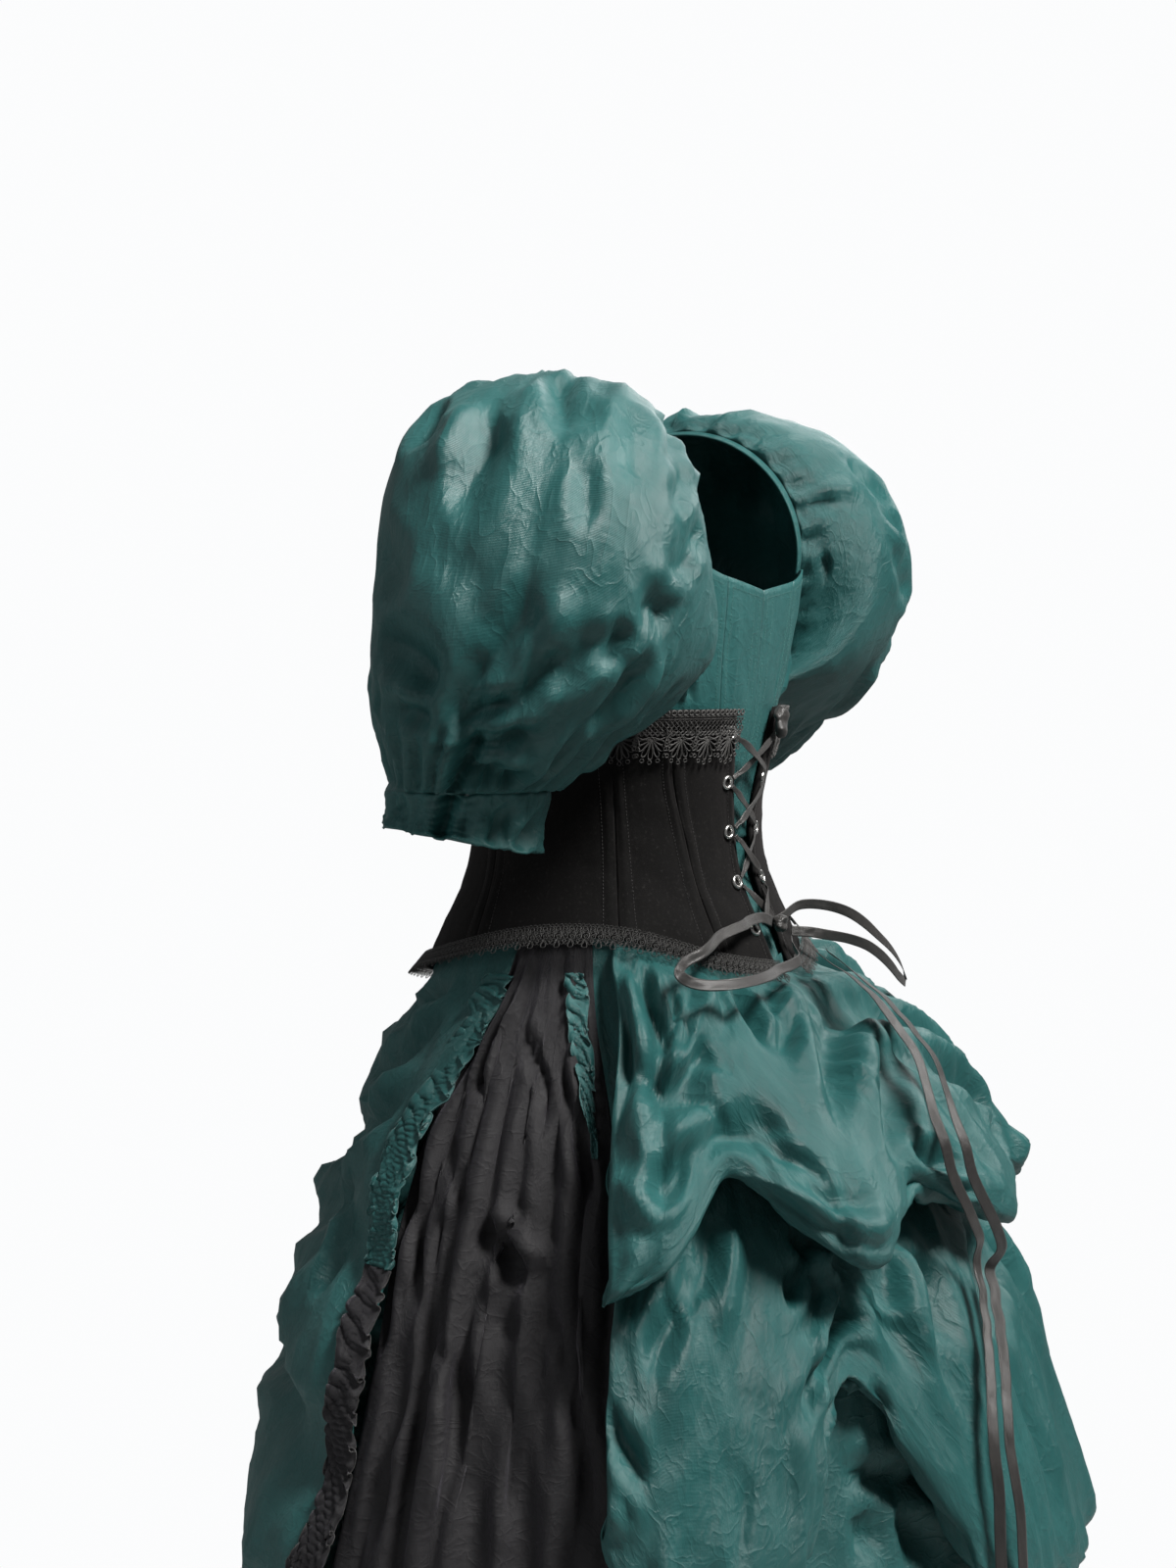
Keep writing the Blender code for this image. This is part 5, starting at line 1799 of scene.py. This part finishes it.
@dataclass
class Eyelets:
    """Rolled eyelets beside the laced edges."""

    workshop: Workshop
    sides: int = 22
    profile: tuple[tuple[float, float], ...] = (
        (0.0056, -0.0006), (0.0055, 0.0004), (0.0050, 0.0011), (0.0043, 0.0013), (0.0036, 0.0010),
        (0.0031, 0.0002), (0.0030, -0.0012))
    tilt_reach: float = 0.004

    def azimuth(self, z: float) -> float:
        """Azimuth of the eyelet at a height."""
        return float(CINCHER_SEAMS.read(z)) + math.degrees(EYELET_INSET / float(FORM.figure(10, z)))

    def motif(self) -> bpy.types.Mesh:
        """A rolled rim, its barrel and the dark hollow inside."""
        turn = np.linspace(0, 2 * math.pi, self.sides, endpoint=False)
        rings = np.stack([np.stack([radius * np.cos(turn), radius * np.sin(turn), np.full(self.sides, z)],
                                   axis=-1) for radius, z in self.profile])
        index = np.arange(len(self.profile) * self.sides).reshape(len(self.profile), self.sides)
        following = np.roll(index, -1, axis=1)
        faces = np.stack([index[:-1], following[:-1], following[1:], index[1:]], axis=-1).reshape(-1, 4)
        return mesh_of("eyelet_motif", rings.reshape(-1, 3), faces)

    def build(self) -> None:
        """Set the ten eyelets."""
        points, facing, along, nodes = [], [], [], []
        for row, z in enumerate(EYELET_HEIGHTS, 1):
            for side, word in SIDES:
                azimuth = side * self.azimuth(z)
                up, low = (at(azimuth, FORM.figure(azimuth, level), level)
                           for level in (z + self.tilt_reach, z - self.tilt_reach))
                tangent = at(azimuth + 90, 1.0, 0.0)
                normal = unit(np.cross(up - low, tangent))
                normal = normal if normal @ at(azimuth, 1.0, 0.0) > 0 else -normal
                lifted = (0.0014 if row == 4 else 0.0011) + (LACE_OFF if row == 1 else 0.0) - 0.0002
                points.append(at(azimuth, FORM.figure(azimuth, z), z) + normal * lifted)
                facing.append(normal)
                along.append(tangent)
                nodes.append(f"eyelet_{row}_{word}")
        piece = self.workshop.repeater.repeat("eyelet_rims", self.motif(), np.array(points), np.array(facing),
                                              np.array(along), self.workshop.finishes.metal)
        self.workshop.keep(piece, Slot.METAL, tuple(nodes))


@dataclass
class Ribbon:
    """Flat satin ribbon along a route, lightly wrinkled."""

    name: str
    centre: Array
    side: Array
    width: float = RIBBON_WIDTH
    thickness: float = 0.0005
    narrow: Array | None = None

    def cloth(self) -> Cloth:
        """The ribbon as a laid cloth."""
        count = len(self.centre)
        width = self.width * (self.narrow if self.narrow is not None else np.ones(count))

        def place(along: Array, across: Array) -> Array:
            index = along * (count - 1)
            low = np.clip(index.astype(int), 0, count - 2)
            share = (index - low)[..., None]
            middle = self.centre[low] * (1 - share) + self.centre[low + 1] * share
            aside = self.side[low] * (1 - share) + self.side[low + 1] * share
            wide = (width[low] * (1 - share[..., 0]) + width[low + 1] * share[..., 0])[..., None]
            return middle + aside * wide * (across - 0.5)[..., None]

        return Cloth(self.name, place, count - 1, 8, (Wrinkles(0.0003, 0.012, 0.004, 81),), self.thickness,
                     edge=0.0005)


def follow(points: Sequence[tuple[float, float, float]], radius: Callable[[float, float], float],
           steps: int) -> tuple[Array, Array]:
    """Centre line of a ribbon round the body and the directions across it.

    Each given point is an azimuth, a height and a clearance from the surface of that radius.
    """
    table = Table(tuple((float(number), *point) for number, point in enumerate(points)))
    position = np.linspace(0, len(points) - 1, steps)
    azimuth, z, clear = (table.read(position, column) for column in (1, 2, 3))
    surface = np.array([float(radius(float(a), float(h))) for a, h in zip(azimuth, z)])
    reach = 5
    padded = np.pad(surface, reach, "edge")
    crest = np.max([padded[start:start + steps] for start in range(2 * reach + 1)], axis=0)
    kernel = np.hanning(2 * reach + 3)[1:-1]
    surface = np.convolve(np.pad(crest, reach, "edge"), kernel / kernel.sum(), "valid")
    centre = at(azimuth, surface + clear, z)
    away = unit(centre * np.array([1.0, 1.0, 0.0]))
    return centre, unit(np.cross(unit(np.gradient(centre, axis=0)), away))


def twisted(centre: Array, side: Array, turns: Array) -> Array:
    """Turn the directions across a ribbon about its run, by angles in degrees."""
    other = np.cross(unit(np.gradient(centre, axis=0)), side)
    angle = np.radians(turns)[:, None]
    return side * np.cos(angle) + other * np.sin(angle)


@dataclass
class Lacing:
    """Ribbon tails, bow, knots and the lacing that crosses the gap."""

    workshop: Workshop
    eyelets: Eyelets
    tail_lean: float = 32
    tail_swing: float = 14
    tail_steps: int = 220
    loop_steps: int = 150
    loop_turn: float = 35
    strand_steps: int = 60
    strand_turn: float = 14
    strand_width: float = RIBBON_WIDTH * 0.78
    strand_lift: float = 0.0012
    edge_turn: float = 4.2
    tails: tuple[tuple[tuple[float, float, float], ...], ...] = (
        ((-3, -0.082, 0.012), (0, -0.100, 0.010), (5, -0.122, 0.006), (9, -0.148, 0.005),
         (14, -0.180, 0.005), (14, -0.215, 0.005), (11, -0.250, 0.006), (7, -0.290, 0.007),
         (10, -0.325, 0.006), (13, -0.360, 0.005), (16, -0.400, 0.005), (17, -0.450, 0.005),
         (16.5, -0.520, 0.006), (16, -0.590, 0.006), (17, -0.660, 0.006)),
        ((-5.3, -0.084, 0.015), (-2.1, -0.104, 0.0113), (1.8, -0.126, 0.008), (5.5, -0.150, 0.007),
         (10.5, -0.182, 0.007), (11, -0.217, 0.007), (8.2, -0.252, 0.008), (4.3, -0.292, 0.009),
         (7.4, -0.327, 0.008), (10.6, -0.362, 0.007), (13.6, -0.402, 0.007), (14.6, -0.452, 0.007),
         (14, -0.522, 0.008), (13.4, -0.585, 0.008), (14, -0.640, 0.008)))
    left_loop: tuple[tuple[float, float, float], ...] = (
        (1.4, -0.062, 0.0024), (12, -0.056, 0.008), (24, -0.058, 0.010), (38, -0.066, 0.012),
        (50, -0.080, 0.014), (46, -0.090, 0.020), (30, -0.088, 0.024), (14, -0.084, 0.020),
        (4, -0.074, 0.012))
    right_loop: tuple[tuple[float, float, float], ...] = (
        (-1.4, -0.062, 0.0064), (-14, -0.052, 0.022), (-24, -0.060, 0.046), (-33, -0.088, 0.064),
        (-40, -0.122, 0.078), (-35, -0.118, 0.068), (-24, -0.086, 0.048), (-13, -0.074, 0.026),
        (-5, -0.070, 0.012))

    def make(self, ribbon: Ribbon, nodes: Sequence[str]) -> tuple[bpy.types.Object, Cloth]:
        """Make a ribbon and keep it."""
        cloth = ribbon.cloth().lay()
        piece = cloth.make(self.workshop.finishes.satin)
        return self.workshop.keep(piece, Slot.SATIN, nodes), cloth

    def hang_tails(self) -> None:
        """The two long ends of the lacing, each a hanging ribbon."""
        for number, points in enumerate(self.tails, 1):
            centre, side = follow(points, FORM.outer, self.tail_steps)
            share = np.linspace(0, 1, self.tail_steps)
            sway = np.sin(share * math.pi * (2.5 if number == 1 else 3.5) + number)
            swing = (self.tail_lean + self.tail_swing * sway) * smooth(share / 0.15)
            side = twisted(centre, side, swing)
            piece, cloth = self.make(Ribbon(f"ribbon_tail_{number}_satin", centre, side),
                                     (f"ribbon_tail_{number}",))

    def tie_bow(self) -> None:
        """The bow's two loops and both knots."""
        for name, points, radius in (("bow_loop_left", self.left_loop, FORM.outer),
                                     ("bow_loop_right", self.right_loop, FORM.figure)):
            centre, side = follow(points, radius, self.loop_steps)
            share = np.linspace(0, 1, self.loop_steps)
            side = twisted(centre, side, self.loop_turn * np.sin(share * math.pi * 2) ** 3)
            self.make(Ribbon(name + "_satin", centre, side), (name,))
        low = at(0, float(FORM.figure(0, -0.064)) + 0.0117, -0.063)
        high = at(-15, float(FORM.figure(15, 0.088)) + 0.0084, 0.089)
        self.knot("bow_knot", low, (0.0075, 0.0055, 0.0065), 3)
        self.knot("upper_knot", high, (0.008, 0.0055, 0.013), 5)

    def knot(self, name: str, centre: Array, size: tuple[float, float, float], seed: int) -> None:
        """A knot of ribbon wound over itself, given by its middle and its half sizes."""
        def place(across: Array, down: Array) -> Array:
            turn = 2 * math.pi * across
            lift = math.pi * (0.04 + 0.92 * down)
            grain = Grain(seed)
            wound = 1 + 0.16 * np.sin(turn * 2 + down * 9) + 0.12 * grain.at(across * 6, down * 5, 6)
            waist = 1 - 0.22 * np.exp(-((down - 0.5) / 0.12) ** 2)
            radius = np.sin(lift) * wound * waist
            x, y = centre[0] + size[0] * radius * np.sin(turn), centre[1] + size[1] * radius * np.cos(turn)
            return np.stack([x, y, centre[2] + size[2] * np.cos(lift)], axis=-1)

        folds = [Wrinkles(0.0009, 0.006, 0.004, seed, True)]
        cloth = Cloth(name + "_satin", place, 40, 26, folds, 0.0006, closed=True, edge=0.001).lay()
        self.workshop.keep(cloth.make(self.workshop.finishes.satin), Slot.SATIN, (name,))

    def lace_up(self) -> None:
        """The strands that cross between each pair of eyelet rows."""
        for row, (high, low) in enumerate(zip(EYELET_HEIGHTS, EYELET_HEIGHTS[1:]), 1):
            for side, word in SIDES:
                over = (side > 0) == (row % 2 == 1)
                lift = (LACING_OVER[row - 1] if over else LACING_UNDER) + (0.0011 if row == 1 else 0.0)
                share = np.linspace(-0.07, 1.07, self.strand_steps)
                rise = side * (self.eyelets.azimuth(high) - self.edge_turn)
                fall = -side * (self.eyelets.azimuth(low) - self.edge_turn)
                azimuth = rise + (fall - rise) * share
                z = high - 0.005 + (low - high + 0.01) * share
                ends = smooth(share / 0.12) * smooth((1 - share) / 0.12)
                bow = lift * (0.55 + 0.45 * ends) + self.strand_lift
                centre = at(azimuth, FORM.figure(azimuth, z) + bow, z)
                run = at(fall, 0.11, low) - at(rise, 0.11, high)
                across = unit(np.cross(unit(run), at(azimuth, 1.0, 0.0 * azimuth)))
                across = np.where(across[:, 2:] > 0, across, -across) * -side
                across = twisted(centre, across, self.strand_turn * np.sin(share * math.pi * 2 + row))
                narrow = 0.55 + 0.45 * smooth(share / 0.25) * smooth((1 - share) / 0.25)
                self.make(Ribbon(f"lacing_{row}_{word}_satin", centre, across, self.strand_width,
                                 narrow=narrow), (f"lacing_{row}_{word}",))


@dataclass
class Skirt:
    """Tube of four panels from the waist seam to the hem."""

    workshop: Workshop
    swags: tuple[tuple[float, float], ...] = ((-0.165, 0.014), (-0.295, 0.022), (-0.43, 0.022))
    back_flutes: int = 17
    back_depth: float = 0.012
    back_lift: float = 0.006
    side_gathers: int = 60
    side_depth: float = 0.0038

    def swag(self, azimuth: Array, z: Array) -> Array:
        """Fullness of the front, drawn up in three swags that fall towards the hips."""
        turn = np.abs(azimuth - 180)
        total = 0.0
        for drop, depth in self.swags:
            lip = drop - 0.075 * smooth(turn / 80)
            below = (z - lip) / 0.075
            total = total + depth * np.where(below < 0, smooth(1.0 + below), smooth(1.2 - below))
        return total * smooth((-0.124 - z) / 0.05) * smooth((84 - turn) / 22 + 0.25)

    def drapes(self) -> list[Relief]:
        """Hanging folds across the front, slung between the side seams."""
        draw = np.random.default_rng(131)
        rows = []
        for drop in np.arange(0.13, 0.60, 0.030):
            tilt, sag = 0.030 * draw.normal(), 0.05 + 0.03 * draw.random()
            start, end = draw.uniform(0.03, 0.30), draw.uniform(0.70, 0.97)
            path = []
            for share in np.linspace(0, 1, 5):
                down = drop - sag + tilt * (share - 0.5) + 8 * sag * share * (1 - share) / 2
                path.append((start + (end - start) * share, down))
            rows.append(Crease(tuple(path), 0.013, draw.choice((-0.014, 0.011)), 0.2, 0.35))
        return rows

    def heights(self, azimuth: Array) -> tuple[Array, Array]:
        """Waist and hem."""
        return np.full_like(azimuth, -SEAM), np.full_like(azimuth, HEM_Z)

    def edge(self, z: Array, column: int, offset: int) -> Array:
        """Azimuth of a seam beside the side panel."""
        turn = np.degrees(0.5 * SEAM / np.maximum(0.1, FORM.skirt(80, z)))
        return SIDE_PANEL.read(z, column) + offset * turn

    def back_radius(self, azimuth: Array, z: Array) -> Array:
        """Back panel, fuller below the puffs."""
        lower = smooth((-0.5 - z) / 0.12) * smooth((self.edge(z, 1, -1) - np.abs(azimuth)) / 7)
        flute = self.back_depth * np.cos(np.radians(azimuth) * self.back_flutes) + self.back_lift
        return FORM.skirt(azimuth, z) + lower * flute

    def side_radius(self, azimuth: Array, z: Array) -> Array:
        """Side panel with its gathers from the waist."""
        middle = smooth((azimuth - self.edge(z, 1, 1)) / 5) * smooth((self.edge(z, 2, -1) - azimuth) / 5)
        sway = 2.2 * Grain(117).at(azimuth / 11, z * 4)
        gather = np.cos(np.radians(azimuth) * self.side_gathers + sway)
        fold = self.side_depth * smooth((-0.09 - z) / 0.12) * gather
        return FORM.skirt(azimuth, z) + middle * fold

    def front_radius(self, azimuth: Array, z: Array) -> Array:
        """Front panel with its swags."""
        return FORM.skirt(azimuth, z) + self.swag(azimuth, z)

    def back_folds(self) -> list[Relief]:
        """Folds of the back panel."""
        return [Wrinkles(0.010, 0.10, 0.20, 101), Wrinkles(0.0044, 0.040, 0.070, 102, True, 1.4),
                Wrinkles(0.0012, 0.013, 0.022, 103, True), *creases(BACK_FOLDS, 2.0),
                *echoed(BACK_FOLDS, 1.9),
                *strewn(46, 104, (0, 1, 0.45, 0.95), (0.10, 0.16), 0.008, 0.0060, 30, 0.7)]

    def side_folds(self) -> list[Relief]:
        """Folds of the left side panel."""
        return [Wrinkles(0.0075, 0.032, 0.30, 111), Wrinkles(0.0020, 0.030, 0.060, 112, True, 1.2),
                *creases(SIDE_FOLDS, 1.05),
                *strewn(30, 113, (0.05, 0.95, 0.1, 0.8), (0.10, 0.24), 0.007, 0.0052, 0, 0.25),
                *strewn(24, 114, (0.1, 0.9, 0.2, 0.9), (0.16, 0.08), 0.006, 0.0040, 40, 0.6)]

    def front_folds(self) -> list[Relief]:
        """Folds of the front panel."""
        return [Wrinkles(0.007, 0.070, 0.10, 121, bend=1.5), Wrinkles(0.0040, 0.034, 0.050, 122, True, 1.4),
                Wrinkles(0.0011, 0.013, 0.018, 123, True), *creases(FRONT_FOLDS, 2.0),
                *echoed(FRONT_FOLDS, 1.9, False), *self.drapes(),
                *strewn(44, 124, (0, 1, 0.12, 0.9), (0.20, 0.12), 0.012, 0.0100, 65, 0.4)]

    def build(self) -> None:
        """Cut the four panels."""
        shop = self.workshop
        back, side, front = (strip_place(edges, self.heights, radius) for edges, radius in (
            (lambda z: (-self.edge(z, 1, -1), self.edge(z, 1, -1)), self.back_radius),
            (lambda z: (self.edge(z, 1, 1), self.edge(z, 2, -1)), self.side_radius),
            (lambda z: (self.edge(z, 2, 1), 360 - self.edge(z, 2, 1)), self.front_radius)))
        side_folds = self.side_folds()
        rows = (("skirt_back", back, self.back_folds(), Slot.SATEEN, 1.2, "bodice_back_left_cloth"),
                ("skirt_side_left", side, side_folds, Slot.COTTON, 1.3, "bodice_side_left_cloth"),
                ("skirt_side_right", mirrored(side), turned_over(side_folds), Slot.COTTON, 1.3,
                 "bodice_side_right_cloth"),
                ("skirt_front", front, self.front_folds(), Slot.SATEEN, 1.2, "bodice_front_cloth"))
        for node, place, folds, slot, ease, carrier in rows:
            shop.cut(sheet_of(node, place, folds, under=below_cincher), slot, node, Held.GATHERED, ease,
                     [carrier])


@dataclass
class Puffs:
    """Two drawn-up puffs over the back of the skirt."""

    workshop: Workshop
    half_turn: float = 63.5
    lap: float = 0.006
    seed: int = 9

    def place_of(self, puff: Callable[[Array, Array], tuple[Array, Array]]) -> Place:
        """Place function of one puff, whose side edges stray a little."""
        def place(across: Array, down: Array) -> Array:
            azimuth = 2 * self.half_turn * across - self.half_turn
            z, radius = puff(azimuth, down)
            uneven = Grain(self.seed).at(down * 4.5, np.sign(azimuth) * 3.0 + 8.5)
            stray = 2.6 * uneven * smooth((np.abs(azimuth) - 44) / 19)
            lap = self.lap * smooth((np.abs(azimuth) - 54) / 9) * smooth((down - 0.06) / 0.12)
            return at(azimuth + stray * np.sign(azimuth) * smooth(down / 0.2), radius + lap, z)
        return place

    def upper_folds(self) -> list[Relief]:
        """Folds of the upper puff."""
        return [Gathers(20, 0.0070, 0.110, 201), Wrinkles(0.006, 0.060, 0.12, 202, bend=1.4),
                Wrinkles(0.0040, 0.034, 0.060, 203, True, 1.5), Wrinkles(0.0012, 0.012, 0.020, 204, True),
                *creases(UPPER_PUFF_FOLDS, 2.1), *echoed(UPPER_PUFF_FOLDS, 1.9),
                *strewn(60, 205, (0, 1, 0.02, 0.75), (0.07, 0.34), 0.007, 0.0054, 0, 0.45)]

    def lower_folds(self) -> list[Relief]:
        """Folds of the lower puff."""
        return [Wrinkles(0.008, 0.070, 0.14, 212, bend=1.4), Wrinkles(0.0042, 0.036, 0.060, 213, True, 1.5),
                Wrinkles(0.0012, 0.012, 0.020, 214, True), *creases(LOWER_PUFF_FOLDS, 2.0),
                *echoed(LOWER_PUFF_FOLDS, 1.8),
                *strewn(60, 215, (0, 1, 0.05, 0.85), (0.09, 0.34), 0.007, 0.0056, 25, 0.6)]

    def build(self) -> None:
        """Cut both puffs."""
        shop = self.workshop
        for node, puff, folds in (("puff_lower", FORM.lower_puff, self.lower_folds()),
                                  ("puff_upper", FORM.upper_puff, self.upper_folds())):
            shop.cut(sheet_of(node, self.place_of(puff), folds, under=below_cincher), Slot.SATEEN, node,
                     Held.GATHERED, 1.15, ["skirt_back_cloth"])


@dataclass
class Ruffles:
    """Ruched strips down the edges of the black side panels, with curled overlocked edges."""

    workshop: Workshop
    skirt: Skirt
    fine: int = 12
    coarse: int = 9
    rows: int = 8
    thickness: float = 0.0006

    def strip(self, column: int, shift: float, top: float, foot: float, waves: int, width: float,
              seed: int) -> Place:
        """Place function of one left strip.

        Args:
            column: which seam of the side panel it follows.
            shift: how far its middle lies beside the seam.
            top: height of its upper end.
            foot: height of its lower end.
            waves: number of its waves.
            width: its width.
            seed: of its unevenness.

        Returns:
            The place function.
        """
        grain = Grain(seed)

        def place(along: Array, across: Array) -> Array:
            edge_side = 2 * across - 1
            loose = np.abs(edge_side) ** 1.4
            stray = grain.at(along * waves * 0.8, np.sign(edge_side) * 1.3 + 4.0)
            beat = waves * along * (1.0 + 0.12 * edge_side) + 1.1 * stray * loose
            phase = 2 * math.pi * beat + 1.3 * edge_side
            tuft = 0.65 + 0.5 * grain.at(along * waves * 0.55 + 9.0, edge_side + 3.0)
            curl = 0.0048 * loose * tuft * np.sin(phase + 1.4 * np.sign(edge_side))
            z = top + (foot - top) * along + curl * np.minimum(1.0, 12 * np.minimum(along, 1 - along))
            slim = 1.0 - 0.7 * smooth((along - 0.45) / 0.4) if column == 1 else 1.0
            ragged = (width * (0.86 + 0.24 * stray) + 0.0020 * loose * np.cos(phase * 1.3)) * slim
            drift = 0.0022 * grain.at(along * waves * 0.3, np.full_like(along, 6.0))
            edge = SIDE_PANEL.read(z, column)
            azimuth = edge + np.degrees((shift + drift + ragged * edge_side / 2) / FORM.skirt(edge, z))
            full = 0.0022 * smooth((-0.09 - z) / 0.12) + self.skirt.swag(azimuth, z)
            wave = (0.5 + 0.5 * np.sin(phase)) * tuft
            pinch = 0.0018 * (1 - loose) * np.abs(np.sin(phase * 1.5))
            rise = 0.0012 + 0.0075 * wave * (0.25 + 0.75 * loose) + pinch
            return at(azimuth, FORM.skirt(azimuth, z) + full + rise, z)
        return place

    def build(self) -> None:
        """Cut the strips and bind their edges."""
        shop = self.workshop
        # Name, slot, seam, shift, top, foot, waves, width and seed of each strip
        rows = (("ruffle_front_upper", Slot.SATEEN, 2, 0.006, -0.095, -0.295, 19, 0.030, 301),
                ("ruffle_front_lower", Slot.COTTON, 2, 0.006, -0.2956, -0.98, 50, 0.028, 302),
                ("ruffle_back", Slot.SATEEN, 1, 0.013, -0.09, -0.21, 11, 0.016, 303))
        for name, slot, column, shift, top, foot, waves, width, seed in rows:
            place = self.strip(column, shift, top, foot, waves, width, seed)
            for side, laid in (("left", place), ("right", mirrored(place))):
                columns = waves * (self.fine if side == "left" else self.coarse)
                cloth = Cloth(f"{name}_{side}_cloth", laid, columns, self.rows,
                              (Wrinkles(0.0006, 0.008, 0.010, seed, True),), self.thickness, edge=0.0005)
                cloth.lay()
                binding = self.bind(cloth, f"{name}_{side}_binding", slot)
                shop.cut(cloth, slot, f"{name}_{side}", Held.GATHERED, 1.1, [f"skirt_side_{side}_cloth"],
                         [binding])

    def bind(self, cloth: Cloth, name: str, slot: Slot) -> bpy.types.Object:
        """Overlocked thread along both long edges of a strip."""
        lines = [(cloth.points[row] - cloth.normal[row] * 0.0003, 0.00055, False) for row in (0, -1)]
        finishes = self.workshop.finishes
        finish = finishes.overlock if slot is Slot.SATEEN else finishes.black_thread
        piece = add_object(name, gather_tubes(name, lines), finish)
        return self.workshop.keep(piece, slot)


def main() -> None:
    """Build the studio and every sub-assembly in order."""
    logging.basicConfig(level=logging.INFO, format="%(message)s")
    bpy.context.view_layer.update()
    studio = Studio()
    studio.camera()
    workshop = Workshop(Wardrobe(), Repeater())
    eyelets = Eyelets(workshop)
    lacing = Lacing(workshop, eyelets)
    lacing.hang_tails()
    studio.light()
    studio.floor()
    Bodice(workshop).build()
    Sleeves(workshop).build()
    Cincher(workshop).build()
    Lace(workshop).build()
    eyelets.build()
    lacing.lace_up()
    lacing.tie_bow()
    skirt = Skirt(workshop)
    skirt.build()
    Puffs(workshop).build()
    Ruffles(workshop, skirt).build()
    total = sum(len(piece.data.loop_triangles) for piece in workshop.pieces)
    log.info("all pieces: %d triangles", total)


if __name__ == "__main__":
    main()
